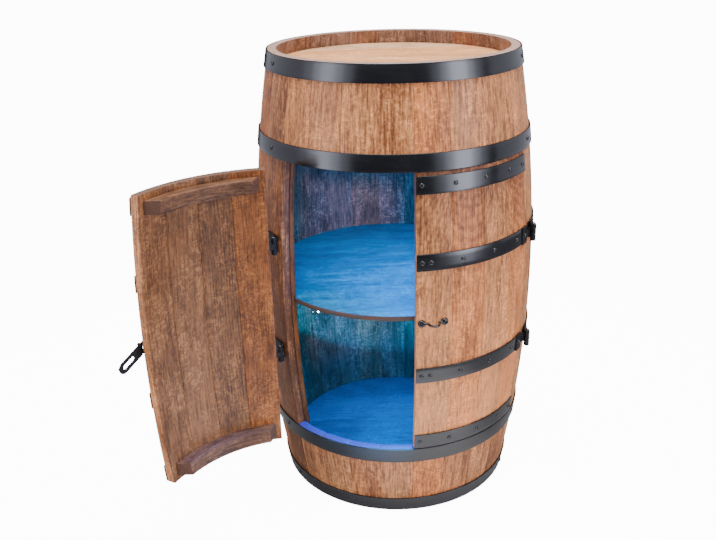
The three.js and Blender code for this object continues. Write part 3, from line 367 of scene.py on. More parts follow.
class Finishes(bpy.types.PropertyGroup):
    """The colours of the wood, the steel and the light."""

    oak_dark: colour("Dark oak", "The darkest grain of the staves", (0.105, 0.032, 0.009))
    oak_light: colour("Light oak", "The lightest grain of the staves", (0.74, 0.290, 0.105))
    oak_end: colour("Oak ends", "The sawn ends of the staves", (0.50, 0.33, 0.27))
    # Painted light: the wall and low tints paint the blue light of the upper and lower compartments into the
    # inner staves' colour.
    wall_glow_tint: colour("Wall tint", "Multiplies the staves' colour inside", (0.62, 0.52, 0.72))
    low_glow_tint: colour("Low tint", "Multiplies the staves' colour below the shelf", (0.36, 0.38, 0.95))
    # Painted shade: the foot tint makes the inner staves darker and bluer near the floor, where shade falls.
    foot_shade_tint: colour("Foot tint", "Multiplies the staves' colour near the floor", (0.09, 0.23, 0.80))
    rim_tint: colour("Rim tint", "Multiplies the staves' colour inside the rim", (0.38, 0.50, 0.85))
    door_tint: colour("Door tint", "Multiplies the doors' colour inside", (0.42, 0.430, 0.40))
    door_end: colour("Door ends", "The sawn ends of the door staves", (0.16, 0.10, 0.075))
    shelf_edge: colour("Shelf edge", "The sawn edge of the shelf", (0.13, 0.045, 0.022))
    head_dark: colour("Dark head", "The darkest grain of the top head", (0.46, 0.20, 0.095))
    head_light: colour("Light head", "The lightest grain of the top head", (0.95, 0.64, 0.38))
    batten_dark: colour("Dark batten", "The darkest grain of the battens", (0.035, 0.015, 0.008))
    batten_light: colour("Light batten", "The lightest grain of the battens", (0.25, 0.130, 0.075))
    batten_end: colour("Batten ends", "The sawn ends of the battens", (0.13, 0.058, 0.034))
    jamb_dark: colour("Dark upright", "The darkest grain of the upright battens", (0.050, 0.014, 0.003))
    jamb_light: colour("Light upright", "The lightest grain of the upright battens", (0.22, 0.065, 0.012))
    # Painted light: the sill's sawn ends are painted deep blue for the light inside falling on them.
    sill_end_glow: colour("Sill ends", "The sawn upper ends of the lower front staves", (0.025, 0.03, 0.32))
    # Painted light: the shelf's grain colours are blue-green with almost no red, for the blue light inside
    # falling on the wood.
    shelf_glow_dark: colour("Dark shelf", "The darkest grain of the shelf", (0.002, 0.060, 0.070))
    shelf_glow_light: colour("Light shelf", "The lightest grain of the shelf", (0.003, 0.165, 0.150))
    # Painted light: the bottom head's grain colours are deep blue, for the blue light in the lower
    # compartment falling on the wood.
    floor_glow_dark: colour("Dark floor", "The darkest grain of the bottom head", (0.002, 0.028, 0.080))
    floor_glow_light: colour("Light floor", "The lightest grain of the bottom head", (0.007, 0.095, 0.225))
    steel: colour("Steel", "The black finish of hoops and straps", (0.005, 0.005, 0.007))
    screw: colour("Screw", "The black finish of the screws", (0.004, 0.004, 0.005))
    plastic: colour("Plastic", "The plastic of the controller and the inlet", (0.012, 0.012, 0.013))
    backing: colour("Backing", "The back of the light strip", (0.03, 0.10, 0.14))
    diffuser: colour("Diffuser", "The cover of the light strip", (0.7, 0.8, 0.9))
    diode_spot: colour("Diode spot", "The light of the strip over its diodes", (0.55, 0.80, 1.0))
    diode: colour("Diode", "The light of the diodes on the loose end", (0.4, 0.75, 1.0))
    glow: colour("Glow", "The light in the upper compartment", (0.0, 0.20, 1.0))
    low_glow: colour("Low glow", "The light in the lower compartment", (0.0, 0.46, 1.0))


class StageSettings(bpy.types.PropertyGroup):
    """The camera, the floor and the lights around the cabinet."""

    camera_place: bpy.props.FloatVectorProperty(
        name="Camera place",
        description="The camera's place, from the foot of the barrel's axis",
        default=(-0.198886, -1.451902, 0.992934),
        subtype="XYZ",
        unit="LENGTH",
    )
    camera_bearing: angle("Camera bearing", "Where the camera looks, from +Y towards +X", 5.137)
    camera_dip: angle("Camera dip", "How far the camera looks down", 22.494)
    camera_roll: angle("Camera roll", "How far the camera leans, anticlockwise", -1.319)
    lens: amount("Lens", "Focal length in millimetres", 42.34)
    key_power: amount("Key power", "Power of the light beside the camera, in watts", 120)
    side_power: amount("Side power", "Power of each side light, in watts", 15)
    back_power: amount("Back power", "Power of each light behind, in watts", 20)
    card_power: amount("Card power", "Power of each wide card that only reflections show, in watts", 9)
    top_power: amount("Top power", "Power of the light overhead, in watts", 150)
    corner_power: amount("Corner power", "Power at the left end of the lower strip, in watts", 20)
    glow_power: amount("Glow power", "Power in the upper compartment, in watts", 9.5)
    low_glow_power: amount("Low glow power", "Power in the lower compartment, in watts", 3.5)
    strip_glow: amount("Strip glow", "Brightness of the light strips themselves", 6)
    backdrop: amount("Backdrop", "Brightness that the camera sees in the floor and behind it", 14)


class CabinetSettings(bpy.types.PropertyGroup):
    """Everything that the cabinet is built from."""

    barrel: bpy.props.PointerProperty(type=BarrelSizes)
    hoop: bpy.props.PointerProperty(type=HoopSizes)
    door: bpy.props.PointerProperty(type=DoorSizes)
    latch: bpy.props.PointerProperty(type=LatchSizes)
    lamp: bpy.props.PointerProperty(type=LampSizes)
    finish: bpy.props.PointerProperty(type=Finishes)
    stage: bpy.props.PointerProperty(type=StageSettings)


# Places on the barrel


def radius_at(barrel, height):
    """The bulge: belly radius less the fall to the ends times the square of the share of the way to them."""
    share = (height - barrel.height / 2) / (barrel.height / 2)
    return barrel.belly_radius - (barrel.belly_radius - barrel.end_radius) * share**2


def half_stave(barrel):
    """Half the angle of a back stave."""
    return (FULL_TURN / 2 - barrel.door_angle) / barrel.back_staves


def around_axis(radius, turn, height):
    """Points at a radius, an angle and a height: x = r sin(turn), y = -r cos(turn)."""
    radius, turn, height = np.broadcast_arrays(radius, turn, height)
    return AXIS + np.stack([radius * np.sin(turn), -radius * np.cos(turn), height], axis=-1)


def directions(turn):
    """At an angle round the axis: straight out, and along the hoops."""
    outwards = np.array([math.sin(turn), -math.cos(turn), 0.0])
    along = np.array([math.cos(turn), math.sin(turn), 0.0])
    return outwards, along


def frame_at(x, y, z, origin):
    """A place from its three directions and its origin."""
    place = np.eye(4)
    place[:3] = np.stack([x, y, z, origin], axis=-1)
    return place


def hung(points, side):
    """Points of a door piece; the left door's are turned about its pins from shut to how it stands."""
    if side > 0:
        return points
    cosine, sine = math.cos(LEFT_TURN), math.sin(LEFT_TURN)
    spin = np.array([[cosine, -sine, 0], [sine, cosine, 0], [0, 0, 1]])
    return LEFT_PIN + (points - LEFT_PIN) @ spin.T


def on_barrel(barrel, turn, height, lift=0.0):
    """A place on the staves' outer face: X along the hoops, Y up the staves and Z straight out."""
    share = (height - barrel.height / 2) / (barrel.height / 2)
    tilt = math.atan(-4 * (barrel.belly_radius - barrel.end_radius) * share / barrel.height)
    outwards, along = directions(turn)
    out = outwards * math.cos(tilt) - np.array([0.0, 0.0, math.sin(tilt)])
    origin = around_axis(radius_at(barrel, height), turn, height) + out * lift
    return frame_at(along, np.cross(out, along), out, origin)


def placed(points, place):
    """Local points carried to a place."""
    return points @ place[:3, :3].T + place[:3, 3]


# Shells: closed surfaces made from rows of loops

Shell = namedtuple("Shell", "points faces grain board end")


def shell(points, grain, board=(0.5, 0.5, 0.5), ring=False, sawn=()):
    """A closed shell from points[row, place].

    Quads join neighbouring loops, and flat ends or the first loop close it. The faces are turned round if the
    signed volume, the sum of p0 . (p1 x p2) over fans of triangles, is negative. The loops whose numbers are
    in sawn are marked as end grain.
    """
    rows, places = points.shape[:2]
    index = np.arange(rows * places).reshape(rows, places)
    if ring:
        index = np.concatenate([index, index[:1]])
    after = np.roll(index, -1, axis=1)
    quads = np.stack([index[:-1], after[:-1], after[1:], index[1:]], axis=-1).reshape(-1, 4)
    ends = [] if ring else [index[0][::-1], index[-1]]
    flat = points.reshape(-1, 3)
    centre = flat.mean(0)
    corner = flat[quads] - centre
    volume = 0.0
    for a, b, c in [(0, 1, 2), (0, 2, 3)]:
        volume += np.einsum("ij,ij->", corner[:, a], np.cross(corner[:, b], corner[:, c]))
    for end in ends:
        fan = flat[end] - centre
        volume += np.sum(np.cross(fan[1:-1], fan[2:]) @ fan[0])
    faces = quads.tolist() + [end.tolist() for end in ends]
    if volume < 0:
        faces = [face[::-1] for face in faces]
    boards = np.broadcast_to(np.array(board, float), flat.shape)
    end_grain = np.zeros((rows, places))
    end_grain[list(sawn)] = 1.0
    return Shell(flat, faces, np.broadcast_to(grain, points.shape).reshape(-1, 3), boards, end_grain.ravel())


def make_piece(name, shells, body, nodes, material, bevel=0.0):
    """One object from several shells, which stands for CAD nodes and rides on their body."""
    starts = np.cumsum([0] + [len(one.points) for one in shells])
    faces = []
    for start, one in zip(starts.tolist(), shells):
        faces += [[place + start for place in face] for face in one.faces]
    mesh = bpy.data.meshes.new(name)
    mesh.from_pydata(np.concatenate([one.points for one in shells]).tolist(), [], faces)
    for key, kind, field in [
        ("grain", "FLOAT_VECTOR", "vector"), ("board", "FLOAT_VECTOR", "vector"), ("end", "FLOAT", "value"),
    ]:
        values = np.concatenate([getattr(one, key) for one in shells]).astype(np.float32)
        mesh.attributes.new(key, kind, "POINT").data.foreach_set(field, values.ravel())
    mesh.materials.append(material)
    mesh.shade_smooth()
    mesh.set_sharp_from_angle(angle=SHARP_ANGLE)
    piece = bpy.data.objects.new(name, mesh)
    bpy.context.scene.collection.objects.link(piece)
    if bevel:
        edges = piece.modifiers.new("soft edges", "BEVEL")
        edges.width = bevel
        edges.segments = BEVEL_SEGMENTS
        edges.limit_method = "ANGLE"
        edges.angle_limit = SHARP_ANGLE
    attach(piece, body)
    if nodes:
        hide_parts(*nodes)


def board_section(columns, thickness, softness):
    """A board's section: shares across it from -1 to 1, insets from its edges, and depths below its face.

    Each corner is a quarter circle: inset = softness (1 - sin t) and depth = softness (1 - cos t).
    """
    across = np.linspace(-1, 1, columns + 1)[1:-1]
    turn = np.linspace(0, np.pi / 2, CORNER_POINTS)
    inset = softness * (1 - np.sin(turn))
    drop = softness * (1 - np.cos(turn))
    edge = np.ones(CORNER_POINTS)
    face = softness * np.abs(across)
    share = np.concatenate([across, edge, edge, across[::-1], -edge, -edge])
    insets = np.concatenate([face, inset, inset[::-1], face, inset, inset[::-1]])
    back = thickness + 0 * across
    depth = np.concatenate([0 * across, drop, thickness - drop[::-1], back, thickness - drop, drop[::-1]])
    return share, insets, depth


def eased_rows(low, high, softness, steps):
    """Places from end to end, and how far the section draws in at each: a quarter circle at both ends."""
    turn = np.linspace(0, np.pi / 2, EASE_POINTS)
    ease = softness * (1 - np.cos(turn))
    draw = softness * (1 - np.sin(turn))
    middle = np.linspace(low + softness, high - softness, steps + 1)[1:-1]
    place = np.concatenate([low + ease, middle, high - ease[::-1]])
    return place[:, None], np.concatenate([draw, 0 * middle, draw[::-1]])[:, None]


def drawn_in(section, draw, thickness):
    """A section's insets and depths, drawn in evenly on all sides."""
    share, inset, depth = section
    return share, inset + draw * np.abs(share), draw + depth * (1 - 2 * draw / thickness)


def chances(seed):
    """Three numbers from 0 to 1 that belong to one board."""
    return np.random.default_rng(seed).random(3)


def stacked(*parts):
    """Arrays of one shape as the last axis of a new one."""
    return np.stack(np.broadcast_arrays(*parts), axis=-1)


def upright_board(barrel, start, end, bottom, top, offset, thickness, seed, tone=None, lift=0.0):
    """A board that stands along the bulge between two angles.

    At each height the section's point lies at the angle mid + share * half, less its inset as an arc, and at
    the bulge's radius plus the offset less its depth. Its tone is the given one plus the lift times 1/2 less
    the square of the share of the board's height.
    """
    height, draw = eased_rows(bottom, top, barrel.softness, BOARD_ROWS)
    section = board_section(BOARD_COLUMNS, thickness, barrel.softness)
    share, inset, depth = drawn_in(section, draw, thickness)
    face = radius_at(barrel, height) + offset
    middle, half = (start + end) / 2, (end - start) / 2
    turn = middle + share * half - np.sign(share) * inset / face
    points = around_axis(face - depth, turn, height)
    grain = stacked((turn - middle) * face, depth, height)
    chance = chances(seed)
    if tone is not None:
        chance[2] = tone
    board = np.tile(chance, (*points.shape[:2], 1))
    board[..., 2] += lift * (0.5 - ((height - bottom) / (top - bottom)) ** 2)
    return points, grain, board.reshape(-1, 3)


def curved_board(barrel, height, width, start, end, offset, thickness, softness, seed=0, slant=0.0):
    """A board or band that runs round the barrel at one height, between two angles.

    The section's share now runs up its width. A slant draws the ends in with depth, so that they slope.
    """
    reach = barrel.belly_radius
    rows = max(BAND_ROWS, round((end - start) * BAND_ROWS_PER_RADIAN))
    along, draw = eased_rows(start * reach, end * reach, softness, rows)
    share, inset, depth = drawn_in(board_section(BAND_COLUMNS, thickness, softness), draw, thickness)
    level = height + share * width / 2 - np.sign(share) * inset
    row_share = (along / reach - (start + end) / 2) / ((end - start) / 2)
    turn = along / reach - row_share * slant * depth / thickness / reach
    points = around_axis(radius_at(barrel, level) + offset - depth, turn, level)
    return points, stacked(level, depth, turn * reach), chances(seed)


def hung_board(board, side=1, sawn=ENDS):
    """A board as a shell with sawn ends, turned with its door."""
    points, grain, chance = board
    return shell(hung(points, side), grain, chance, sawn=sawn)


def hoop_ring(barrel, hoop, height):
    """A whole hoop: the band's section carried right round the axis."""
    turn = np.linspace(0, FULL_TURN, RING_STEPS, endpoint=False)[:, None]
    share, inset, depth = board_section(BAND_COLUMNS, hoop.thickness, hoop.softness)
    level = height + share * hoop.width / 2 - np.sign(share) * inset
    points = around_axis(radius_at(barrel, level) + band_lift(hoop) - depth, turn, level)
    return shell(points, stacked(level, depth, turn * barrel.belly_radius), ring=True)


def disc_board(low, high, radius, bottom, top, softness, seed):
    """One board of a round head: along X between straight edges, and ended by arcs x = sqrt(r^2 - y^2)."""
    height, draw = eased_rows(bottom, top, softness, DISC_ROWS)
    share = (1 - np.cos(np.linspace(0, np.pi, DISC_STEPS))) / 2
    across = low + draw + (high - low - 2 * draw) * share
    reach = np.sqrt(np.maximum((radius - draw) ** 2 - across**2, 0))
    x = np.concatenate([reach, -reach[:, ::-1]], axis=1)
    y = np.concatenate([across, across[:, ::-1]], axis=1)
    local = stacked(x, y, height)
    return shell(AXIS + local, local[..., [1, 2, 0]], chances(seed))


def turned_piece(profile, place, side=1, steps=TURNED_STEPS):
    """A round piece: each (radius, rise) of a profile is a circle about the place's Z axis."""
    radius, rise = np.array(profile, float).T[:, :, None]
    turn = np.linspace(0, FULL_TURN, steps, endpoint=False)
    local = stacked(radius * np.cos(turn), radius * np.sin(turn), rise)
    return shell(hung(placed(local, place), side), local)


def dished_profile(radius, rise, foot, rim, shares):
    """A screw head: an upright rim, then shares of its radius and rise over the dome and into its recess."""
    return [(radius, foot), (radius, rim)] + [(radius * wide, rise * high) for wide, high in shares]


def bar_profile(radius, low, high, chamfer, end_share):
    """A short round bar with chamfered ends."""
    narrow = radius * end_share
    return [(narrow, low), (radius, low + chamfer), (radius, high - chamfer), (narrow, high)]


def prism(outline, low, high, place, side=1):
    """A flat outline carried straight along the place's Z axis."""
    corners = np.array(outline, float)
    local = stacked(corners[:, 0], corners[:, 1], np.array([low, high])[:, None])
    return shell(hung(placed(local, place), side), local)


# Materials


def fill(tree, made, inputs):
    """Links or plain values for a node's inputs; a colour is opaque."""
    for key, value in inputs.items():
        socket = made.inputs[key]
        if isinstance(value, bpy.types.NodeSocket):
            tree.links.new(value, socket)
        elif socket.type == "RGBA":
            socket.default_value = (*value[:3], 1.0)
        else:
            socket.default_value = value


def node(tree, kind, inputs=None, **settings):
    """A shader node with its settings and inputs."""
    made = tree.nodes.new(kind)
    for key, value in settings.items():
        setattr(made, key, value)
    fill(tree, made, inputs or {})
    return made


def maths(tree, operation, *values):
    """The result of one sum on numbers or sockets."""
    return node(tree, "ShaderNodeMath", dict(enumerate(values)), operation=operation).outputs[0]


def vector_maths(tree, operation, *values, output="Vector"):
    """The result of one sum on vectors."""
    return node(tree, "ShaderNodeVectorMath", dict(enumerate(values)), operation=operation).outputs[output]


def times(tree, *values):
    """The product of several numbers."""
    return functools.reduce(functools.partial(maths, tree, "MULTIPLY"), values)


def weighted(tree, pairs, base=None):
    """A base plus the sum of numbers that are each multiplied by a weight."""
    terms = [times(tree, value, weight) for value, weight in pairs]
    if base is not None:
        terms.insert(0, base)
    return functools.reduce(functools.partial(maths, tree, "ADD"), terms)


def components(tree, vector):
    """The three numbers of a vector."""
    return node(tree, "ShaderNodeSeparateXYZ", {0: vector}).outputs[:3]


def noise(tree, vector, stretch, detail, rough=0.55, distortion=0.0):
    """Noise on a vector that is first stretched by different scales along its three axes."""
    inputs = {
        "Vector": vector_maths(tree, "MULTIPLY", vector, stretch),
        "Scale": 1.0,
        "Detail": detail,
        "Roughness": rough,
        "Distortion": distortion,
    }
    return node(tree, "ShaderNodeTexNoise", inputs).outputs["Fac"]


def ramp(tree, value, low, high):
    """A number taken from 0 at one value to 1 at another, smoothly."""
    inputs = {"Value": value, "From Min": low, "From Max": high}
    return node(tree, "ShaderNodeMapRange", inputs, interpolation_type="SMOOTHSTEP").outputs["Result"]


def mixed(tree, share, first, second, blend="MIX"):
    """Two colours mixed by a share."""
    inputs = {0: share, 6: first, 7: second}
    return node(tree, "ShaderNodeMix", inputs, data_type="RGBA", blend_type=blend).outputs[2]


def tinted(tree, first, second):
    """A colour multiplied by another."""
    return mixed(tree, 1.0, first, second, "MULTIPLY")


def attribute(tree, name, output="Vector"):
    """A value that the pieces carry on their points."""
    return node(tree, "ShaderNodeAttribute", attribute_name=name).outputs[output]


def new_group(name, inputs):
    """An empty node group that gives a colour, a roughness and a height, with its inputs and its end."""
    group = bpy.data.node_groups.new(name, "ShaderNodeTree")
    outputs = {"Color": ["Color"], "Float": ["Roughness", "Height"]}
    for way, sockets in [("INPUT", inputs), ("OUTPUT", outputs)]:
        for kind, names in sockets.items():
            for one in names:
                group.interface.new_socket(name=one, in_out=way, socket_type=f"NodeSocket{kind}")
    return group, group.nodes.new("NodeGroupInput").outputs, group.nodes.new("NodeGroupOutput")


def oak_rings(tree, where, grain, board):
    """Year rings: the sine of the distance from a pith beside the board, which bends and drifts along it."""
    across, deep, along = grain
    chance, chance_warm, chance_tone = board
    bend = noise(tree, where, *BEND_NOISE)
    side = weighted(tree, [(bend, BEND), (chance, -PITH_SPREAD)], across)
    side = maths(tree, "ADD", side, PITH_SPREAD / 2)
    depth = maths(tree, "ADD", deep, weighted(tree, [(chance_warm, PITH_SPREAD)], PITH_DEPTH))
    distance = maths(tree, "SQRT", weighted(tree, [(side, side), (depth, depth)]))
    drifted = maths(tree, "ADD", distance, times(tree, along, chance_tone, TAPER))
    wave = maths(tree, "SINE", times(tree, drifted, RING_WAVES))
    return weighted(tree, [(wave, 0.5)], 0.5)


def ray_flecks(tree, where, patch, inner, strength):
    """Short pale curls in patches, where a noise passes its middle value, fainter on the outer face."""
    middle = maths(tree, "SUBTRACT", noise(tree, where, *CURL_NOISE), 0.5)
    curl = maths(tree, "SUBTRACT", 1.0, ramp(tree, maths(tree, "ABSOLUTE", middle), *CURL_SPAN))
    shown = weighted(tree, [(inner, 1 - OUTER_FLECK_SHARE)], OUTER_FLECK_SHARE)
    return times(tree, curl, patch, strength, shown)


def painted_inner_light(tree, along, given):
    """The tint of the inner face, painted light: it paints the blue light inside and the shade near the floor
    into the colour, and changes above the floor, at the shelf and at the top head.
    """
    low = mixed(tree, ramp(tree, along, *FOOT_SPAN), given["Foot"], given["Low"])
    below_rim = mixed(tree, ramp(tree, along, *SHELF_SPAN), low, given["Inside"])
    return mixed(tree, ramp(tree, along, *RIM_SPAN), below_rim, given["Rim"])


def oak_group():
    """Oak: rings round a pith, pores along the grain, ray flecks across it, and stain that took unevenly."""
    name = "Oak grain"
    if name in bpy.data.node_groups:
        return bpy.data.node_groups[name]
    tree, given, end = new_group(name, {
        "Vector": ["Grain", "Board"],
        "Float": ["End", "Flecks", "Stain"],
        "Color": ["Dark", "Light", "End color", *TINT_ZONES],
    })
    shift = vector_maths(tree, "MULTIPLY", given["Board"], BOARD_SHIFT)
    where = vector_maths(tree, "ADD", given["Grain"], shift)
    grain, board = components(tree, given["Grain"]), components(tree, given["Board"])
    deep, along = grain[1:]
    chance_warm, chance_tone = board[1:]
    marks = {
        mark: ramp(tree, noise(tree, where, *settings), *span) for mark, (settings, span) in OAK_MARKS.items()
    }
    inner = ramp(tree, deep, *INNER_SPAN)
    flecks = ray_flecks(tree, where, marks["patch"], inner, given["Flecks"])

    shades = {**marks, "rings": oak_rings(tree, where, grain, board), "board": chance_tone}
    tone = weighted(tree, [(shades[shade], weight) for shade, weight in TONE_WEIGHTS.items()])
    plain = mixed(tree, ramp(tree, tone, *TONE_SPAN), given["Dark"], given["Light"])
    flecked = mixed(tree, flecks, plain, tinted(tree, plain, PALE))
    warm = mixed(tree, ramp(tree, chance_warm, *WARM_SPAN), flecked, tinted(tree, flecked, ORANGE))
    stained = mixed(tree, times(tree, marks["stain"], given["Stain"]), warm, tinted(tree, warm, GREY))
    pored = mixed(tree, times(tree, marks["pores"], PORE_SHARE), stained, tinted(tree, stained, PORE_SHADE))
    # Painted light: on the staves the inner faces take tints that paint in the blue light inside and the
    # shade near the floor.
    faces = mixed(tree, inner, pored, tinted(tree, pored, painted_inner_light(tree, along, given)))
    sawn = mixed(tree, times(tree, marks["dots"], DOT_SHARE), given["End color"], given["Dark"])
    fill(tree, end, {
        "Color": mixed(tree, given["End"], faces, sawn),
        "Roughness": weighted(tree, [(marks["fibre"], FIBRE_ROUGHNESS)], OAK_ROUGHNESS),
        "Height": weighted(tree, [(marks["fibre"], FIBRE_HEIGHT), (marks["pores"], PORE_HEIGHT)]),
    })
    return tree


def painted_group():
    """Black finish on steel: fine rolling lines along the band, soft smudges and patches of dust."""
    name = "Painted steel"
    if name in bpy.data.node_groups:
        return bpy.data.node_groups[name]
    tree, given, end = new_group(name, {"Vector": ["Grain"], "Color": ["Paint"], "Float": ["Sheen"]})
    lines = noise(tree, given["Grain"], *LINE_NOISE)
    smudge = noise(tree, given["Grain"], *SMUDGE_NOISE)
    dusty = times(tree, ramp(tree, smudge, *DUST_SPAN), DUST_SHARE)
    fill(tree, end, {
        "Color": mixed(tree, dusty, given["Paint"], DUST),
        "Roughness": weighted(tree, [(lines, LINE_ROUGHNESS), (smudge, SMUDGE_ROUGHNESS)], given["Sheen"]),
        "Height": times(tree, lines, LINE_HEIGHT),
    })
    return tree


def new_material(name, dress):
    """A material with a Principled surface, dressed once by a function of its tree and that surface."""
    made = bpy.data.materials.get(name)
    if made is None:
        made = bpy.data.materials.new(name)
        made.use_nodes = True
        dress(made.node_tree, made.node_tree.nodes["Principled BSDF"])
    return made


def bumped(tree, height, strength, distance):
    """The normal of a surface that is raised by a height."""
    inputs = {"Height": height, "Strength": strength, "Distance": distance}
    return node(tree, "ShaderNodeBump", inputs).outputs["Normal"]


def dress_with_group(tree, surface, group, inputs, strength, distance):
    """A group's colour, roughness and bump on a surface."""
    made = node(tree, "ShaderNodeGroup", inputs, node_tree=group)
    fill(tree, surface, {
        "Base Color": made.outputs["Color"],
        "Roughness": made.outputs["Roughness"],
        "Normal": bumped(tree, made.outputs["Height"], strength, distance),
    })


def oak(name, dark, light, end, tints=((1, 1, 1),), flecks=0.9, stain=0.7, bump=0.25, coat=0.12):
    """Stained oak under a thin oil finish.

    The tints multiply its colour on the inner face: above the shelf, below it, near the floor and inside
    the rim. On the staves and the sill they are painted light: the blue light inside, and the shade near the
    floor. A single tint holds for the whole inner face.
    """
    def dress(tree, surface):
        inputs = {
            "Grain": attribute(tree, "grain"),
            "Board": attribute(tree, "board"),
            "End": attribute(tree, "end", "Fac"),
            "Dark": dark,
            "Light": light,
            "End color": end,
            "Flecks": flecks,
            "Stain": stain,
        }
        zones = tints if len(tints) > 1 else tints * len(TINT_ZONES)
        inputs.update(zip(TINT_ZONES, zones))
        dress_with_group(tree, surface, oak_group(), inputs, bump, GRAIN_DEPTH)
        fill(tree, surface, {"Coat Weight": coat, "Coat Roughness": 0.35, "Specular IOR Level": 0.3})

    return new_material(name, dress)


def painted(name, paint, roughness, gloss=0.7):
    """Steel under a black finish."""
    def dress(tree, surface):
        inputs = {"Grain": attribute(tree, "grain"), "Paint": paint, "Sheen": roughness}
        dress_with_group(tree, surface, painted_group(), inputs, LINE_BUMP, PAINT_DEPTH)
        fill(tree, surface, {"Specular IOR Level": gloss})

    return new_material(name, dress)


def plastic(name, base, roughness):
    """Moulded plastic with a fine spark-eroded texture."""
    def dress(tree, surface):
        place = node(tree, "ShaderNodeTexCoord").outputs["Object"]
        fine = noise(tree, place, *SPARK_NOISE)
        normal = bumped(tree, fine, SPARK_BUMP, SPARK_DEPTH)
        fill(tree, surface, {"Normal": normal, "Base Color": base, "Roughness": roughness})

    return new_material(name, dress)


def glowing(name, finish, glow, strength):
    """A light strip's diffuser, brighter at each diode by a power of the sine of the place along it."""
    def dress(tree, surface):
        along = components(tree, attribute(tree, "grain"))[2]
        wave = maths(tree, "ABSOLUTE", maths(tree, "SINE", times(tree, along, DIODE_WAVES)))
        fill(tree, surface, {
            "Emission Color": mixed(tree, maths(tree, "POWER", wave, DIODE_POWER), glow, finish.diode_spot),
            "Emission Strength": strength,
            "Base Color": finish.diffuser,
            "Roughness": 0.4,
        })

    return new_material(name, dress)


def stave_oak(finish):
    tints = (finish.wall_glow_tint, finish.low_glow_tint, finish.foot_shade_tint, finish.rim_tint)
    return oak("Stained oak staves", finish.oak_dark, finish.oak_light, finish.oak_end, tints)


# Painted light: the sill's ends are painted blue, and its inner face takes the walls' painted blue light.
def sill_oak(finish):
    return oak("Stained oak sill", finish.oak_dark, finish.oak_light, finish.sill_end_glow, (finish.wall_glow_tint,))


def door_oak(finish):
    return oak("Stained oak doors", finish.oak_dark, finish.oak_light, finish.door_end, (finish.door_tint,),
               flecks=0.8, stain=0.3)


def batten_oak(finish):
    return oak("Oak battens", finish.batten_dark, finish.batten_light, finish.batten_end,
               flecks=0.4, stain=0.5, bump=0.45, coat=0.05)


def jamb_oak(finish):
    return oak("Oak uprights", finish.jamb_dark, finish.jamb_light, finish.jamb_dark,
               flecks=0.2, stain=0.2, bump=0.4, coat=0.05)


def head_oak(finish):
    return oak("Oak top head", finish.head_dark, finish.head_light, finish.head_light, flecks=0.2, stain=0.2)


# Painted light: the shelf's colours carry the blue light inside.
def shelf_oak(finish):
    return oak("Oak shelf", finish.shelf_glow_dark, finish.shelf_glow_light, finish.shelf_edge,
               flecks=0.3, stain=0.3, coat=0.0)


# Painted light: the bottom head's colours carry the blue light of the lower compartment.
def floor_oak(finish):
    return oak("Oak floor", finish.floor_glow_dark, finish.floor_glow_light, finish.floor_glow_light,
               flecks=0.3, stain=0.3, coat=0.0)


def black_steel(finish):
    return painted("Black steel bands", finish.steel, 0.13)


def screw_steel(finish):
    return painted("Black screws", finish.screw, 0.14)


def hinge_steel(finish):
    return painted("Black hinges", finish.screw, 0.45, 0.3)


# Pieces of the barrel


def frame_nodes(start):
    """The frame's nodes whose names begin alike."""
    return [name for name in FRAME["nodes"] if name.startswith(start)]


def stave_row(barrel, start, end, bottom, top, tones, seed, lifts):
    """Staves side by side between two angles, each pressed a little into the next."""
    press = barrel.press / 2 / barrel.belly_radius
    edges = np.linspace(start, end, len(tones) + 1)
    staves = []
    for number, tone in enumerate(tones):
        left, right = edges[number] - press, edges[number + 1] + press
        stave = upright_board(
            barrel, left, right, bottom, top, 0, barrel.wall, seed + number, tone, lifts.get(number, 0))
        staves.append(hung_board(stave, sawn=WORN_ENDS))
    return staves


def build_staves(cabinet):
    """The staves: full-height ones round the back, and short ones above and below the opening."""
    barrel, finish = cabinet.barrel, cabinet.finish
    near, far = barrel.door_angle, FULL_TURN - barrel.door_angle
    rows = {
        "back": (near, far, 0, barrel.height, BACK_TONES, SEEDS["back"], BACK_LIFTS),
        "upper": (-near, near, barrel.opening_top, barrel.height, UPPER_TONES, SEEDS["upper"], {}),
        "lower": (-near, near, 0, barrel.opening_bottom, LOWER_TONES, SEEDS["lower"], {}),
    }
    staves = {name: stave_row(barrel, *row) for name, row in rows.items()}
    nodes = frame_nodes("back_staves")
    make_piece("back_staves", staves["back"], "cabinet", nodes, stave_oak(finish))
    make_piece(
        "upper_front_staves", staves["upper"], "cabinet", ["front_upper_staves"], stave_oak(finish))
    make_piece(
        "lower_front_staves", staves["lower"], "cabinet", ["front_lower_staves"], sill_oak(finish))


def head_boards(barrel, top, seed):
    """The boards of a head, cut from a disc that fits inside the staves, with a thin line between them."""
    bottom = top - barrel.head_thickness
    radius = min(radius_at(barrel, top), radius_at(barrel, bottom)) - barrel.wall - barrel.joint
    edges = np.linspace(-1, 1, barrel.head_boards + 1) * radius * HEAD_EDGE_SHARE
    return [
        disc_board(edges[number], edges[number + 1], radius, bottom, top, barrel.head_softness, seed + number)
        for number in range(barrel.head_boards)
    ]


def build_heads(cabinet):
    """The top head below the rim, and the bottom head that is the lower floor."""
    barrel, finish = cabinet.barrel, cabinet.finish
    top = head_boards(barrel, barrel.top_head, SEEDS["top head"])
    make_piece("top_head_boards", top, "cabinet", ["top_head"], head_oak(finish))
    bottom = head_boards(barrel, barrel.bottom_head, SEEDS["bottom head"])
    make_piece("bottom_head_boards", bottom, "cabinet", ["bottom_head"], floor_oak(finish))


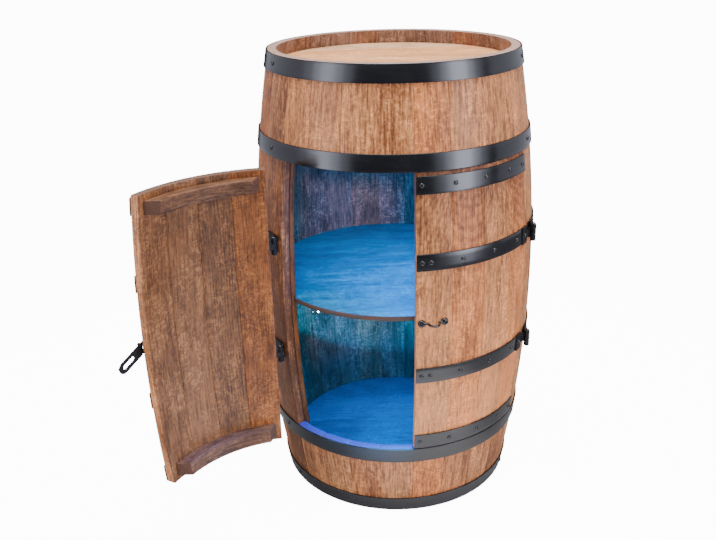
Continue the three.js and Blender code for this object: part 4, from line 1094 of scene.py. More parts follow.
def shelf_outline(barrel, height):
    """The shelf's edge as angles and radii: a circle that draws in behind each upright batten."""
    inner = radius_at(barrel, height) - barrel.wall
    full = inner - barrel.shelf_gap
    notched = inner - barrel.upright_depth - 2 * barrel.inner_gap
    near = barrel.door_angle - barrel.inner_gap / full
    far = near + half_stave(barrel) + 3 * barrel.inner_gap / full
    turns, reaches = [], []
    for start, end, reach in [
        (-near, near, full), (near, far, notched), (far, FULL_TURN - far, full),
        (FULL_TURN - far, FULL_TURN - near, notched),
    ]:
        steps = max(SHELF_STEPS, round(SHELF_STEPS_PER_RADIAN * (end - start)))
        turns.append(np.linspace(start, end, steps))
        reaches.append(np.full(steps, reach))
    return np.concatenate(turns), np.concatenate(reaches)


def build_shelf(cabinet):
    """The round shelf, notched round the upright battens, and the cleats under it."""
    barrel, finish = cabinet.barrel, cabinet.finish
    bottom = barrel.shelf_top - barrel.shelf_thickness
    turn, reach = shelf_outline(barrel, bottom)
    height, draw = eased_rows(bottom, barrel.shelf_top, barrel.shelf_softness, DISC_ROWS)
    points = around_axis(reach - draw, turn, height)
    grain = (points - AXIS)[..., [1, 2, 0]] * barrel.shelf_grain
    shelf = shell(points, grain, SHELF_BOARD, sawn=range(1, len(height) - 1))
    make_piece("shelf_board", [shelf], "cabinet", ["middle_shelf"], shelf_oak(finish))

    half = half_stave(barrel)
    top = bottom - barrel.joint
    cleats = []
    for number, share in enumerate(CLEAT_SHARES):
        middle = barrel.door_angle + share * (FULL_TURN - 2 * barrel.door_angle)
        cleats.append(hung_board(upright_board(
            barrel, middle - half, middle + half, top - barrel.cleat_height, top,
            -barrel.wall - barrel.inner_gap, barrel.cleat_depth, SEEDS["cleats"] + number)))
    make_piece("shelf_cleats", cleats, "cabinet", frame_nodes("shelf_cleat"), batten_oak(finish))


def build_uprights(cabinet):
    """The upright battens inside, along both sides of the opening."""
    barrel = cabinet.barrel
    near = barrel.door_angle + barrel.joint / barrel.belly_radius
    far = barrel.door_angle + half_stave(barrel)
    bottom = barrel.opening_bottom - barrel.upright_overlap
    top = barrel.opening_top + barrel.upright_overlap
    for name, side in SIDES.items():
        start, end = sorted([side * near, side * far])
        board = upright_board(
            barrel, start, end, bottom, top, -barrel.wall - barrel.inner_gap, barrel.upright_depth,
            SEEDS["uprights"] + side)
        make_piece(f"{name}_upright", [hung_board(board)], "cabinet", [f"{name}_upright_batten"],
                   jamb_oak(cabinet.finish))


# Hoops, straps and hinges


def band_lift(hoop):
    """From the staves to the outer face of a hoop or strap."""
    return hoop.seat + hoop.thickness


def screw_shell(cabinet, turn, height, lift, side=1):
    """A low domed screw head with a round recess in its middle."""
    hoop = cabinet.hoop
    profile = dished_profile(
        hoop.screw_radius, hoop.screw_height, -hoop.screw_sink, hoop.screw_rim, SCREW_DOME_SHARES)
    return turned_piece(profile, on_barrel(cabinet.barrel, turn, height, lift), side, SCREW_STEPS)


def make_band(cabinet, name, band, body, node_name):
    """The steel of a hoop or strap."""
    make_piece(name, [band], body, [node_name], black_steel(cabinet.finish))


def make_screws(cabinet, name, height, turns, body="cabinet", side=1):
    """The screws of a hoop or strap."""
    lift = band_lift(cabinet.hoop)
    heads = [screw_shell(cabinet, turn, height, lift, side) for turn in turns]
    make_piece(name, heads, body, [], screw_steel(cabinet.finish))


def open_band(cabinet, height, start, end):
    """A steel band that runs round the barrel between two angles."""
    hoop = cabinet.hoop
    return curved_board(
        cabinet.barrel, height, hoop.width, start, end, band_lift(hoop), hoop.thickness, hoop.softness)


def build_hoops(cabinet):
    """The four whole hoops and the two middle hoops that end at the hinges."""
    barrel, hoop, door = cabinet.barrel, cabinet.hoop, cabinet.door
    whole = {
        "top_hoop": (barrel.height - hoop.width / 2, TOP_HOOP_SCREW_SHARES),
        "upper_hoop": (hoop.upper, HOOP_SCREW_SHARES),
        "lower_hoop": (hoop.lower, HOOP_SCREW_SHARES),
        "bottom_hoop": (hoop.bottom_rise + hoop.width / 2, HOOP_SCREW_SHARES),
    }
    for name, (height, shares) in whole.items():
        make_band(cabinet, f"{name}_band", hoop_ring(barrel, hoop, height), "cabinet", name)
        make_screws(cabinet, f"{name}_screws", height, [share * FULL_TURN for share in shares])
    start = barrel.door_angle + door.hinge_offset + door.knuckle_radius / (barrel.end_radius - barrel.wall)
    turns = [share * FULL_TURN for share in MIDDLE_HOOP_SCREW_SHARES]
    for level, height in {"upper": door.upper_hinge, "lower": door.lower_hinge}.items():
        name = f"{level}_middle_hoop"
        band = shell(*open_band(cabinet, height, start, FULL_TURN - start))
        make_band(cabinet, f"{name}_band", band, "cabinet", name)
        make_screws(cabinet, f"{name}_screws", height, turns)


def hinge_reach(cabinet):
    """From the barrel's axis to the hinge pins."""
    return cabinet.barrel.belly_radius + cabinet.door.hinge_standoff


def hinge_turn(cabinet, side):
    """The angle of the hinge pins."""
    return side * (cabinet.barrel.door_angle + cabinet.door.hinge_offset)


def hinge_place(cabinet, side):
    """A hinge's own place: the pin at its origin, X outwards, Y along the hoops and Z up."""
    turn = hinge_turn(cabinet, side)
    outwards, along = directions(turn)
    return frame_at(outwards, along, [0, 0, 1], around_axis(hinge_reach(cabinet), turn, 0.0))


def leaf_shells(cabinet, height, side, way, knuckles, hung_side):
    """One leaf of a hinge: a plate on the band, arms that rise to the pin, and the knuckles round it."""
    door, hoop = cabinet.door, cabinet.hoop
    place = hinge_place(cabinet, side)
    band_radius = radius_at(cabinet.barrel, height) + band_lift(hoop)

    def seat(along):
        """The band's face as seen from the pin: sqrt(radius^2 - along^2), less the pin's own distance."""
        return np.sqrt(band_radius**2 - along**2) - hinge_reach(cabinet)

    thick, arm, radius = door.leaf_thickness, door.leaf_arm, door.knuckle_radius
    stations = np.linspace(arm, door.leaf_length, LEAF_STEPS)
    outer = np.column_stack([seat(stations) + thick, way * stations])
    inner = np.column_stack([seat(stations) - hoop.thickness * LEAF_SINK_SHARE, way * stations])
    half = door.hinge_height / 2
    shells = [prism(np.concatenate([outer, inner[::-1]]), height - half, height + half, place, hung_side)]
    rise = seat(arm)
    arm_outline = [
        (-radius, 0), (thick - radius, 0), (rise + thick, way * (arm + thick)), (rise, way * (arm + thick)),
    ]
    step = door.hinge_height / KNUCKLES
    for index in knuckles:
        low = height - half + index * step + door.knuckle_gap / 2
        high = low + step - door.knuckle_gap
        profile = bar_profile(radius, low, high, door.knuckle_chamfer, KNUCKLE_END_SHARE)
        shells.append(prism(arm_outline, low, high, place, hung_side))
        shells.append(turned_piece(profile, place, hung_side))
    return shells


def pin_profile(door, height):
    """A hinge pin from its foot to its domed head."""
    radius, half = door.pin_radius, door.hinge_height / 2
    seat = height + half + door.pin_gap
    head = [(radius * share, seat + rise) for share, rise in zip(PIN_HEAD_SHARES, PIN_HEAD_RISES)]
    return [(radius, height - half - door.pin_foot)] + head


def build_hinges(cabinet):
    """The four hinges: a leaf on each door strap, a leaf on each middle hoop, and the pins."""
    door = cabinet.door
    steel, screws = hinge_steel(cabinet.finish), screw_steel(cabinet.finish)
    lift = band_lift(cabinet.hoop) + door.leaf_thickness
    step = (door.leaf_arm + door.leaf_length) / 2 / cabinet.barrel.belly_radius
    for name, side in SIDES.items():
        turn = hinge_turn(cabinet, side)
        moving, fixed, moving_heads, fixed_heads = [], [], [], []
        for level, height in {"upper": door.upper_hinge, "lower": door.lower_hinge}.items():
            moving += leaf_shells(cabinet, height, side, -side, [1], side)
            fixed += leaf_shells(cabinet, height, side, side, [0, 2], 1)
            moving_heads.append(screw_shell(cabinet, turn - side * step, height, lift, side))
            fixed_heads.append(screw_shell(cabinet, turn + side * step, height, lift))
            pin = turned_piece(pin_profile(door, height), hinge_place(cabinet, side))
            nodes = [f"{name}_{level}_hinge_pin"]
            make_piece(f"{name}_{level}_pin", [pin], "cabinet", nodes, screws)
        body, soft = f"{name}_door", door.leaf_softness
        make_piece(f"{name}_door_leaves", moving, body, [], steel, soft)
        make_piece(f"{name}_fixed_leaves", fixed, "cabinet", [], steel, soft)
        make_piece(f"{name}_door_leaf_screws", moving_heads, body, [], screws)
        make_piece(f"{name}_fixed_leaf_screws", fixed_heads, "cabinet", [], screws)


# Doors


def door_edges(cabinet, inset=0.0):
    """A door's free and hinged edges, as angles from the meeting line."""
    barrel, door = cabinet.barrel, cabinet.door
    inner = barrel.end_radius - barrel.wall
    return (door.edge_gap / 2 + inset) / inner, barrel.door_angle - (door.edge_gap + inset) / inner


def door_ends(cabinet):
    """The heights of a door's lower and upper ends."""
    barrel, gap = cabinet.barrel, cabinet.door.end_gap
    return barrel.opening_bottom + gap, barrel.opening_top - gap


def door_boards(cabinet, name, side):
    """A door's staves, from the meeting line to the hinges."""
    barrel = cabinet.barrel
    bottom, top = door_ends(cabinet)
    press = barrel.press / 2 / barrel.belly_radius
    free, hinged = door_edges(cabinet)
    edges = np.linspace(0, barrel.door_angle, barrel.door_staves + 1)
    edges[0], edges[-1] = free + press, hinged - press
    boards = []
    for number, tone in enumerate(DOOR_TONES[name]):
        start, end = sorted([side * (edges[number] - press), side * (edges[number + 1] + press)])
        seed = SEEDS["doors"] + 10 * side + number
        # Painted light: the door's lift makes each stave brighter towards the bottom and darker towards the
        # top.
        board = upright_board(
            barrel, start, end, bottom, top, 0, barrel.wall, seed, tone, DOOR_PAINTED_LIGHT_LIFTS[name])
        boards.append(hung_board(board, side))
    return boards


def build_doors(cabinet):
    """The doors' staves and the curved battens across their inner faces."""
    barrel, door, finish = cabinet.barrel, cabinet.door, cabinet.finish
    bottom, top = door_ends(cabinet)
    inset = door.batten_inset + door.batten_height / 2
    near, far = door_edges(cabinet, door.batten_edge)
    for name, side in SIDES.items():
        body = f"{name}_door"
        nodes = [f"{body}_stave_{number + 1}" for number in range(barrel.door_staves)]
        make_piece(f"{body}_boards", door_boards(cabinet, name, side), body, nodes, door_oak(finish))
        start, end = sorted([side * near, side * far])
        for level, height in {"top": top - inset, "bottom": bottom + inset}.items():
            batten = curved_board(
                barrel, height, door.batten_height, start, end, -barrel.wall - barrel.inner_gap,
                door.batten_depth, barrel.softness, SEEDS["door battens"] + side, door.batten_slant)
            make_piece(f"{name}_{level}_batten", [hung_board(batten, side)], body, [f"{body}_{level}_batten"],
                       batten_oak(finish))


def build_straps(cabinet):
    """The four steel straps across each door, with their screws."""
    door, hoop = cabinet.door, cabinet.hoop
    bottom, top = door_ends(cabinet)
    straps = [
        (top - hoop.top_inset - hoop.width / 2, PLAIN_STRAP_SCREW_SHARES),
        (door.upper_hinge, HINGED_STRAP_SCREW_SHARES),
        (door.lower_hinge, HINGED_STRAP_SCREW_SHARES),
        (bottom + hoop.bottom_inset + hoop.width / 2, PLAIN_STRAP_SCREW_SHARES),
    ]
    near, far = door_edges(cabinet, hoop.end_inset)
    for name, side in SIDES.items():
        start, end = sorted([side * near, side * far])
        body = f"{name}_door"
        for number, (height, shares) in enumerate(straps, 1):
            strap = f"{name}_strap_{number}"
            band = hung_board(open_band(cabinet, height, start, end), side)
            make_band(cabinet, strap, band, body, f"{body}_strap_{number}")
            turns = [side * share * cabinet.barrel.door_angle for share in shares]
            make_screws(cabinet, f"{strap}_screws", height, turns, body, side)


# Hasp and staple


def pivot_turn(cabinet):
    """The angle of the hasp's pivot, on the shut left door."""
    return -cabinet.latch.pivot_inset / cabinet.barrel.belly_radius


def hasp_place(cabinet, droop):
    """The hasp's place on the shut left door: Z straight out, and X along the leaf, turned by its droop."""
    spin = np.eye(4)
    cosine, sine = math.cos(-droop), math.sin(-droop)
    spin[:2, :2] = [[cosine, -sine], [sine, cosine]]
    return on_barrel(cabinet.barrel, pivot_turn(cabinet), cabinet.latch.height) @ spin


def hasp_faces(latch):
    """How far the hasp's back and front stand from the door."""
    low = latch.spacer + latch.gap
    return low, low + latch.thickness


def hasp_pin_place(latch, place):
    """The leaf's pin: along it is Z, and X points to the leaf's tip."""
    origin = [latch.knuckle_reach, 0, hasp_faces(latch)[0] + latch.knuckle_radius]
    return place @ frame_at([1, 0, 0], [0, 0, -1], [0, 1, 0], origin)


def pivot_profile(latch):
    """The pivot screw: its spacer, its shank and its head."""
    seat = hasp_faces(latch)[1] + latch.gap
    spacer = [(latch.spacer_radius, latch.gap), (latch.spacer_radius, latch.spacer)]
    shank = [(latch.pivot_radius, latch.spacer), (latch.pivot_radius, seat)]
    return spacer + shank + [(radius, seat + rise) for radius, rise in PIVOT_HEAD]


def hasp_knuckle(latch, place, index):
    """One of the knuckles, with its tongue: the middle one is the leaf's, the outer ones are the plate's."""
    low, high = hasp_faces(latch)
    reach, radius, gap = latch.knuckle_reach, latch.knuckle_radius, latch.gap
    step = latch.width / KNUCKLES
    start = -latch.width / 2 + index * step + gap / 2
    end = start + step - gap
    near, far = reach - radius - gap - latch.tongue_overlap, reach
    if index == 1:
        near, far = reach, reach + radius + 2 * gap
    tongue = [(near, start), (far, start), (far, end), (near, end)]
    profile = bar_profile(radius, start, end, gap, HASP_KNUCKLE_END_SHARE)
    return [prism(tongue, low, high, place, -1), turned_piece(profile, hasp_pin_place(latch, place), -1)]


def obround(low, high, half):
    """A loop round a slot: its near end, lower side, far end and upper side, each with as many points."""
    turn = np.linspace(-np.pi / 2, np.pi / 2, SLOT_STEPS)
    near = np.stack([low - half * np.cos(turn), -half * np.sin(turn)], axis=-1)
    far = np.stack([high + half * np.cos(turn), half * np.sin(turn)], axis=-1)
    share = np.linspace(0, 1, SLOT_STEPS + 2)[1:-1, None]
    lower = near[-1] + (far[0] - near[-1]) * share
    upper = far[-1] + (near[0] - far[-1]) * share
    return np.concatenate([near, lower, far, upper])


def slotted_leaf(latch, place):
    """The leaf: an outline that is square at the pin and round at the tip, and the slot inside it."""
    half = latch.width / 2
    edge = latch.knuckle_reach + latch.knuckle_radius + latch.gap
    slot_half = (latch.slot_length - latch.slot_width) / 2
    inner = obround(latch.slot_reach - slot_half, latch.slot_reach + slot_half, latch.slot_width / 2)
    outer = obround(edge, latch.tip_reach - half, half)
    outer[:SLOT_STEPS] = stacked(edge, np.linspace(half, -half, SLOT_STEPS))
    low, high = hasp_faces(latch)
    corners = [(outer, high), (outer, low), (inner, low), (inner, high)]
    local = np.stack([np.column_stack([loop, np.full(len(loop), level)]) for loop, level in corners], axis=1)
    return shell(hung(placed(local, place), -1), local, ring=True)


def tip_knob(latch, place):
    """The small round knob at the leaf's tip."""
    low, high = hasp_faces(latch)
    knob_place = place.copy()
    knob_place[:3, 3] = placed(np.array([latch.tip_reach - latch.knob_inset, 0, 0]), place)
    profile = [(KNOB_TOP[0][0], low + latch.knob_foot)] + [(radius, high + rise) for radius, rise in KNOB_TOP]
    return turned_piece(profile, knob_place, -1)


def build_hasp(cabinet):
    """The hasp: its pivot screw, its plate, the pin and the slotted leaf, which hangs down a little."""
    latch, finish = cabinet.latch, cabinet.finish
    steel, screws, soft = hinge_steel(finish), screw_steel(finish), latch.softness
    screw = turned_piece(pivot_profile(latch), hasp_place(cabinet, 0.0), -1)
    make_piece("hasp_screw", [screw], "left_door", ["hasp_pivot_screw"], screws)

    place = hasp_place(cabinet, latch.droop)
    half = latch.width / 2
    clear = latch.knuckle_reach - latch.knuckle_radius - latch.gap
    turn = np.linspace(np.pi / 2, 3 * np.pi / 2, PLATE_STEPS)
    rounded = np.column_stack([half * np.cos(turn), half * np.sin(turn)])
    outline = np.concatenate([rounded, [(clear, -half), (clear, half)]])
    plate = [prism(outline, *hasp_faces(latch), place, -1)]
    plate += hasp_knuckle(latch, place, 0) + hasp_knuckle(latch, place, 2)
    make_piece("hasp_base", plate, "hasp_base", ["hasp_plate"], steel, soft)
    end = half + latch.pin_proud
    pin = turned_piece([(latch.pin_radius, -end), (latch.pin_radius, end)], hasp_pin_place(latch, place), -1)
    make_piece("hasp_leaf_pin", [pin], "hasp_base", ["hasp_pin"], screws)
    leaf = [slotted_leaf(latch, place), tip_knob(latch, place)] + hasp_knuckle(latch, place, 1)
    make_piece("hasp_flap", leaf, "hasp_flap", ["hasp_leaf"], steel, soft)


def staple_rod(latch, place):
    """A round rod: two straight legs, and a loop whose middle line is a Bezier curve.

    Along the curve x is foot (-(1-s)^3 - 3s(1-s)^2 + 3s^2(1-s) + s^3), and z rises by 3s(1-s) of the peak,
    which is 3/4 at most. The circle round each point stands square to the line.
    """
    rod, rest = latch.staple_rod, latch.staple_rod + latch.gap
    foot, end = latch.staple_hump / 2, latch.staple_span / 2
    peak = rest + (latch.staple_reach - rod - rest) / (3 / 4)
    s = np.linspace(0, 1, LOOP_STEPS)
    bend_x = foot * (-((1 - s) ** 3) - 3 * s * (1 - s) ** 2 + 3 * s**2 * (1 - s) + s**3)
    bend_z = rest + 3 * s * (1 - s) * (peak - rest)
    legs = np.linspace(-end, -foot, LEG_STEPS + 1)[:-1]
    flat = np.full(LEG_STEPS, rest)
    x = np.concatenate([legs, bend_x, -legs[::-1]])
    z = np.concatenate([flat, bend_z, flat])
    slope = np.stack([np.gradient(x), np.gradient(z)], axis=-1)
    slope /= np.linalg.norm(slope, axis=-1, keepdims=True)
    turn = np.linspace(0, FULL_TURN, ROD_STEPS, endpoint=False)
    wide = rod * np.cos(turn)
    local = stacked(x[:, None] - wide * slope[:, 1:], rod * np.sin(turn), z[:, None] + wide * slope[:, :1])
    return shell(placed(local, place), local)


def build_staple(cabinet):
    """The staple: a rod with a loop, held by a domed screw at each end."""
    barrel, latch = cabinet.barrel, cabinet.latch
    middle = pivot_turn(cabinet) + latch.slot_reach / barrel.belly_radius
    reach = latch.staple_span / 2 / barrel.belly_radius
    profile = dished_profile(latch.eye_radius, latch.eye_height, latch.gap, latch.eye_rim, EYE_DOME_SHARES)
    shells = [staple_rod(latch, on_barrel(barrel, middle, latch.height))]
    for turn in [middle - reach, middle + reach]:
        shells.append(turned_piece(profile, on_barrel(barrel, turn, latch.height)))
    make_piece("staple_loop", shells, "right_door", ["staple"], screw_steel(cabinet.finish))


# Lighting


def build_strips(cabinet, seats):
    """The two light strips: a flat section with sloped lower edges, carried round the axis."""
    lamp = cabinet.lamp
    glow = glowing("Light diffuser", cabinet.finish, cabinet.finish.glow, cabinet.stage.strip_glow)
    turn = np.linspace(lamp.strip_start, FULL_TURN - lamp.strip_start, STRIP_STEPS)[:, None]
    slope, rise = lamp.strip_slope, lamp.strip_rise
    for name, (seat, outer) in seats.items():
        top = seat - lamp.strip_gap
        low = top - lamp.strip_thickness
        inner = outer - lamp.strip_width
        radius = np.array([outer, outer, outer - slope, inner + slope, inner, inner])
        level = np.array([top, low + rise, low, low, low + rise, top])
        strip = shell(around_axis(radius, turn, level), stacked(radius, level, turn * outer))
        make_piece(f"{name}_strip", [strip], "cabinet", [f"{name}_light_strip"], glow)


def build_tail(cabinet, seat, outer):
    """The loose end of the lower strip, which hangs from the shelf, and its three diodes.

    It sags by a power of the share of the way to its free end.
    """
    lamp, finish = cabinet.lamp, cabinet.finish
    start, end = -lamp.strip_start - TAIL_START, -lamp.strip_start - TAIL_END
    thick = lamp.tail_thickness
    radius = outer - lamp.strip_width / 2
    high, low = seat - thick, seat - thick - lamp.strip_width
    turns = np.linspace(start, end, TAIL_STEPS)[:, None]
    sag = TAIL_SAG * ((end - turns) / (end - start)) ** TAIL_SAG_POWER
    depths, levels = np.array([0, 0, thick, thick]), np.array([high, low, low, high])
    points = around_axis(radius - depths, turns, levels - sag)
    backing = plastic("Strip backing", finish.backing, 0.5)
    make_piece("strip_tail", [shell(points, points - AXIS)], "cabinet", [], backing)
    for number, (share, strength) in enumerate(zip(DIODE_SHARES, DIODE_STRENGTHS), 1):
        turn = start + share * (end - start)
        outwards, along = directions(turn)
        level = (high + low) / 2 - TAIL_SAG * (1 - share) ** TAIL_SAG_POWER
        place = frame_at(along, [0, 0, 1], outwards, around_axis(radius, turn, level))
        glow = glowing(f"Diode {number}", finish, finish.diode, strength)
        diode = turned_piece(DIODE_PROFILE, place)
        make_piece(f"diode_{number}", [diode], "cabinet", [], glow)


def build_inlet(cabinet, black):
    """The cable inlet in the back wall: a sleeve with a rounded flange, turned about the hole."""
    lamp = cabinet.lamp
    bore, sleeve, flange = lamp.inlet_bore, lamp.inlet_sleeve, lamp.inlet_flange
    section = [(bore, -lamp.inlet_depth), (sleeve, -lamp.inlet_depth), (sleeve, lamp.inlet_seat)]
    section += [(flange + wide, lamp.inlet_seat + rise) for wide, rise in FLANGE_EDGE]
    section += [(bore + wide, lamp.inlet_seat + rise) for wide, rise in BORE_EDGE]
    radius, rise = np.array(section).T
    spin = np.linspace(0, FULL_TURN, INLET_STEPS, endpoint=False)[:, None]
    local = stacked(radius * np.cos(spin), radius * np.sin(spin), rise)
    place = on_barrel(cabinet.barrel, math.pi, lamp.inlet_height)
    bush = shell(placed(local, place), local, ring=True)
    make_piece("inlet_bush", [bush], "cabinet", ["cable_grommet"], black)


def build_lamps(cabinet):
    """The two light strips, the controller under the top head and the cable inlet in the back wall."""
    barrel, lamp = cabinet.barrel, cabinet.lamp
    ceiling = barrel.top_head - barrel.head_thickness
    shelf_bottom = barrel.shelf_top - barrel.shelf_thickness
    upper = radius_at(barrel, barrel.top_head) - barrel.wall - lamp.strip_inset
    lower = radius_at(barrel, shelf_bottom) - barrel.wall - barrel.cleat_depth - lamp.strip_inset
    build_strips(cabinet, {"upper": (ceiling, upper), "lower": (shelf_bottom, lower)})
    build_tail(cabinet, shelf_bottom, lower)

    black = plastic("Black plastic", cabinet.finish.plastic, 0.42)
    low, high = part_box("light_controller")
    outline = [(low.x, low.y), (high.x, low.y), (high.x, high.y), (low.x, high.y)]
    box = prism(outline, low.z, high.z, np.eye(4))
    soft = lamp.controller_softness
    make_piece("controller_box", [box], "cabinet", ["light_controller"], black, soft)
    build_inlet(cabinet, black)


# Floor, camera and lights


def add_object(name, data):
    """An object in the scene."""
    made = bpy.data.objects.new(name, data)
    bpy.context.scene.collection.objects.link(made)
    return made


def add_light(name, kind, power, tint, out, location, **settings):
    """A light whose back points a given way, and which the camera doesn't see."""
    light = bpy.data.lights.new(name, kind)
    light.energy, light.color = power, tint
    for key, value in settings.items():
        setattr(light, key, value)
    holder = add_object(name, light)
    holder.location = Vector(AXIS) + location
    holder.rotation_euler = out.to_track_quat("Z", "Y").to_euler()
    holder.visible_camera = False
    return holder


def add_panel(name, bearing, rise, distance, width, depth, power, tint, aim=LIGHT_AIM):
    """A soft rectangular light, at a bearing and a rise as seen from the cabinet, turned towards its aim."""
    turn, lean = math.radians(bearing), math.radians(rise)
    out = Vector((math.sin(turn) * math.cos(lean), -math.cos(turn) * math.cos(lean), math.sin(lean)))
    place = Vector(aim) + out * distance
    return add_light(name, "AREA", power, tint, out, place, shape="RECTANGLE", size=width, size_y=depth)


def build_floor(stage):
    """A pale floor with painted light: grey shade round the cabinet, darker far off, a painted pool of light
    in front of it, and bright to the camera alone.
    """
    def dress(tree, surface):
        place = node(tree, "ShaderNodeTexCoord").outputs["Object"]
        away = vector_maths(tree, "LENGTH", place, output="Value")
        near = vector_maths(tree, "DISTANCE", place, LIGHT_POOL_PLACE, output="Value")
        # Painted light: the floor's colour is a pool of white light in front of the cabinet, grey shade round
        # it and darker far off.
        painted_shade_grey = mixed(tree, ramp(tree, away, *SHADE_GREY_SPAN), NEAR_SHADE_GREY, FAR_SHADE_GREY)
        seen = node(tree, "ShaderNodeLightPath").outputs["Is Camera Ray"]
        fill(tree, surface, {
            "Base Color": mixed(tree, ramp(tree, near, *LIGHT_POOL_SPAN), WHITE, painted_shade_grey),
            "Roughness": 0.9,
            "Emission Color": WHITE,
            "Emission Strength": times(tree, seen, stage.backdrop - FLOOR_DIMMER),
        })

    mesh = bpy.data.meshes.new("floor")
    reach = FLOOR_REACH
    corners = [(-reach, -reach, 0), (reach, -reach, 0), (reach, reach, 0), (-reach, reach, 0)]
    mesh.from_pydata(corners, [], [(0, 1, 2, 3)])
    mesh.materials.append(new_material("Pale floor", dress))
    floor = add_object("floor", mesh)


def build_camera(stage):
    """The camera, from its bearing, its dip and its roll."""
    bearing, dip, roll = stage.camera_bearing, stage.camera_dip, stage.camera_roll
    ahead = Vector((math.sin(bearing) * math.cos(dip), math.cos(bearing) * math.cos(dip), -math.sin(dip)))
    level = ahead.cross(Vector((0, 0, 1))).normalized()
    above = level.cross(ahead)
    right = level * math.cos(roll) + above * math.sin(roll)
    up = above * math.cos(roll) - level * math.sin(roll)
    camera = add_object("camera", bpy.data.cameras.new("camera"))
    camera.data.lens = stage.lens
    camera.data.clip_end = VIEW_END
    turn = Matrix((right, up, -ahead)).transposed().to_4x4()
    camera.matrix_world = Matrix.Translation(Vector(AXIS) + Vector(stage.camera_place)) @ turn
    bpy.context.scene.camera = camera


def build_world(stage):
    """A faint white surrounding light, with a bright backdrop that only the camera sees."""
    world = bpy.data.worlds.new("studio")
    world.use_nodes = True
    tree = world.node_tree
    seen = node(tree, "ShaderNodeLightPath").outputs["Is Camera Ray"]
    strength = weighted(tree, [(seen, stage.backdrop)], AMBIENT)
    fill(tree, tree.nodes["Background"], {"Color": WHITE, "Strength": strength})
    bpy.context.scene.world = world


def build_glow(cabinet):
    """The blue light inside: discs under the top head and the shelf, and a beam by the strip's end."""
    stage, barrel, finish = cabinet.stage, cabinet.barrel, cabinet.finish
    corner = Vector(CORNER_PLACE)
    add_light("corner glow", "SPOT", stage.corner_power, finish.low_glow, Vector(CORNER_BACK), corner,
              spot_size=CORNER_CONE, spot_blend=CORNER_BLEND, shadow_soft_size=CORNER_SIZE)
    ceiling = barrel.top_head - barrel.head_thickness - UPPER_GLOW_DROP
    below = barrel.shelf_top - barrel.shelf_thickness - LOWER_GLOW_DROP
    for name, glow, power, height in [
        ("upper glow", finish.glow, stage.glow_power, ceiling),
        ("lower glow", finish.low_glow, stage.low_glow_power, below),
    ]:
        add_light(name, "AREA", power, glow, Vector((0, 0, 1)), Vector((*GLOW_PLACE, height)),
                  shape="DISK", size=GLOW_SIZE, spread=GLOW_SPREAD)


def build_stage(cabinet):
    """The pale floor, the camera, the studio lights and the blue light inside."""
    stage = cabinet.stage
    build_floor(stage)
    build_camera(stage)
    build_world(stage)
    for name, (bearing, rise, distance, width, depth, power, share, tint, hidden) in STUDIO.items():
        watts = getattr(stage, power) * share
        panel = add_panel(name, bearing, rise, distance, width, depth, watts, tint)
        setattr(panel, f"visible_{hidden}", False)
    size = OVERHEAD_SIZE
    add_panel("overhead light", 0, 90, OVERHEAD_DISTANCE, size, size, stage.top_power, WHITE, OVERHEAD_AIM)
    build_glow(cabinet)


# Operators, one for each group of pieces


class CABINET_OT_stage(bpy.types.Operator):
    """Build the floor, the camera and the lights"""

    bl_idname = "cabinet.stage"
    bl_label = "Stage"
    bl_options = {"REGISTER", "UNDO"}

    def execute(self, context):
        build_stage(context.scene.cabinet)
        return {"FINISHED"}


class CABINET_OT_staves(bpy.types.Operator):
    """Build the staves round the barrel"""

    bl_idname = "cabinet.staves"
    bl_label = "Staves"
    bl_options = {"REGISTER", "UNDO"}

    def execute(self, context):
        build_staves(context.scene.cabinet)
        return {"FINISHED"}


class CABINET_OT_heads(bpy.types.Operator):
    """Build the top head and the bottom head"""

    bl_idname = "cabinet.heads"
    bl_label = "Heads"
    bl_options = {"REGISTER", "UNDO"}

    def execute(self, context):
        build_heads(context.scene.cabinet)
        return {"FINISHED"}


class CABINET_OT_shelf(bpy.types.Operator):
    """Build the shelf and its cleats"""

    bl_idname = "cabinet.shelf"
    bl_label = "Shelf"
    bl_options = {"REGISTER", "UNDO"}

    def execute(self, context):
        build_shelf(context.scene.cabinet)
        return {"FINISHED"}


class CABINET_OT_uprights(bpy.types.Operator):
    """Build the upright battens beside the opening"""

    bl_idname = "cabinet.uprights"
    bl_label = "Upright battens"
    bl_options = {"REGISTER", "UNDO"}

    def execute(self, context):
        build_uprights(context.scene.cabinet)
        return {"FINISHED"}


class CABINET_OT_hoops(bpy.types.Operator):
    """Build the hoops and their screws"""

    bl_idname = "cabinet.hoops"
    bl_label = "Hoops"
    bl_options = {"REGISTER", "UNDO"}

    def execute(self, context):
        build_hoops(context.scene.cabinet)
        return {"FINISHED"}


class CABINET_OT_doors(bpy.types.Operator):
    """Build the staves and battens of both doors"""

    bl_idname = "cabinet.doors"
    bl_label = "Doors"
    bl_options = {"REGISTER", "UNDO"}

    def execute(self, context):
        build_doors(context.scene.cabinet)
        return {"FINISHED"}


class CABINET_OT_straps(bpy.types.Operator):
    """Build the straps of both doors"""

    bl_idname = "cabinet.straps"
    bl_label = "Door straps"
    bl_options = {"REGISTER", "UNDO"}

    def execute(self, context):
        build_straps(context.scene.cabinet)
        return {"FINISHED"}


class CABINET_OT_hinges(bpy.types.Operator):
    """Build the hinges of both doors"""

    bl_idname = "cabinet.hinges"
    bl_label = "Hinges"
    bl_options = {"REGISTER", "UNDO"}

    def execute(self, context):
        build_hinges(context.scene.cabinet)
        return {"FINISHED"}


class CABINET_OT_hasp(bpy.types.Operator):
    """Build the hasp on the left door"""

    bl_idname = "cabinet.hasp"
    bl_label = "Hasp"
    bl_options = {"REGISTER", "UNDO"}

    def execute(self, context):
        build_hasp(context.scene.cabinet)
        return {"FINISHED"}


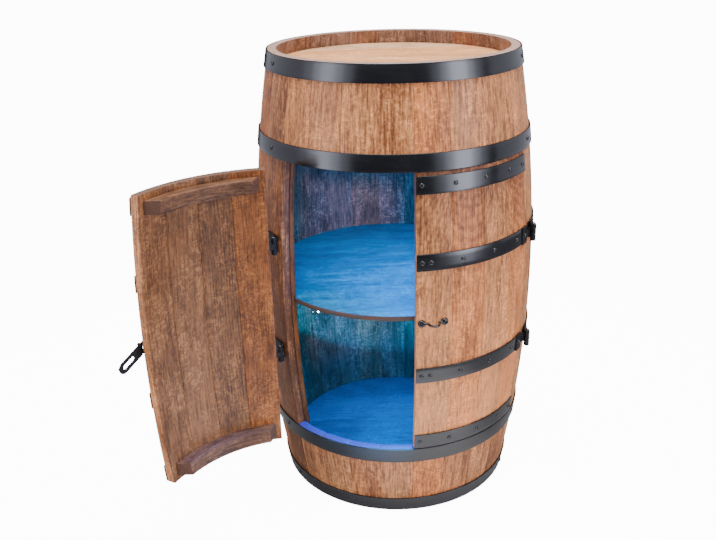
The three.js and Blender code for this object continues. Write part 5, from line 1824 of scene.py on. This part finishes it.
class CABINET_OT_staple(bpy.types.Operator):
    """Build the staple on the right door"""

    bl_idname = "cabinet.staple"
    bl_label = "Staple"
    bl_options = {"REGISTER", "UNDO"}

    def execute(self, context):
        build_staple(context.scene.cabinet)
        return {"FINISHED"}


class CABINET_OT_lamps(bpy.types.Operator):
    """Build the light strips, the controller and the cable inlet"""

    bl_idname = "cabinet.lamps"
    bl_label = "Lighting"
    bl_options = {"REGISTER", "UNDO"}

    def execute(self, context):
        build_lamps(context.scene.cabinet)
        return {"FINISHED"}


OPERATORS = (
    CABINET_OT_stage,
    CABINET_OT_staves,
    CABINET_OT_heads,
    CABINET_OT_shelf,
    CABINET_OT_uprights,
    CABINET_OT_hoops,
    CABINET_OT_doors,
    CABINET_OT_straps,
    CABINET_OT_hinges,
    CABINET_OT_hasp,
    CABINET_OT_staple,
    CABINET_OT_lamps,
)


class CABINET_PT_pieces(bpy.types.Panel):
    """Lists the groups of pieces in the order in which they are built"""

    bl_label = "Barrel cabinet"
    bl_idname = "CABINET_PT_pieces"
    bl_space_type = "VIEW_3D"
    bl_region_type = "UI"
    bl_category = "Barrel cabinet"

    def draw(self, context):
        for operator in OPERATORS:
            self.layout.operator(operator.bl_idname)
        for group in CabinetSettings.__annotations__:
            settings = getattr(context.scene.cabinet, group)
            box = self.layout.box()
            box.label(text=group.capitalize())
            for name in type(settings).__annotations__:
                box.prop(settings, name)


CLASSES = (
    BarrelSizes,
    HoopSizes,
    DoorSizes,
    LatchSizes,
    LampSizes,
    Finishes,
    StageSettings,
    CabinetSettings,
    *OPERATORS,
    CABINET_PT_pieces,
)


def register():
    for one in CLASSES:
        bpy.utils.register_class(one)
    bpy.types.Scene.cabinet = bpy.props.PointerProperty(type=CabinetSettings)


def unregister():
    del bpy.types.Scene.cabinet
    for one in reversed(CLASSES):
        bpy.utils.unregister_class(one)


def main():
    """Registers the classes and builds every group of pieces."""
    register()
    for operator in OPERATORS:
        group, name = operator.bl_idname.split(".")
        getattr(getattr(bpy.ops, group), name)()


if __name__ == "__main__":
    main()
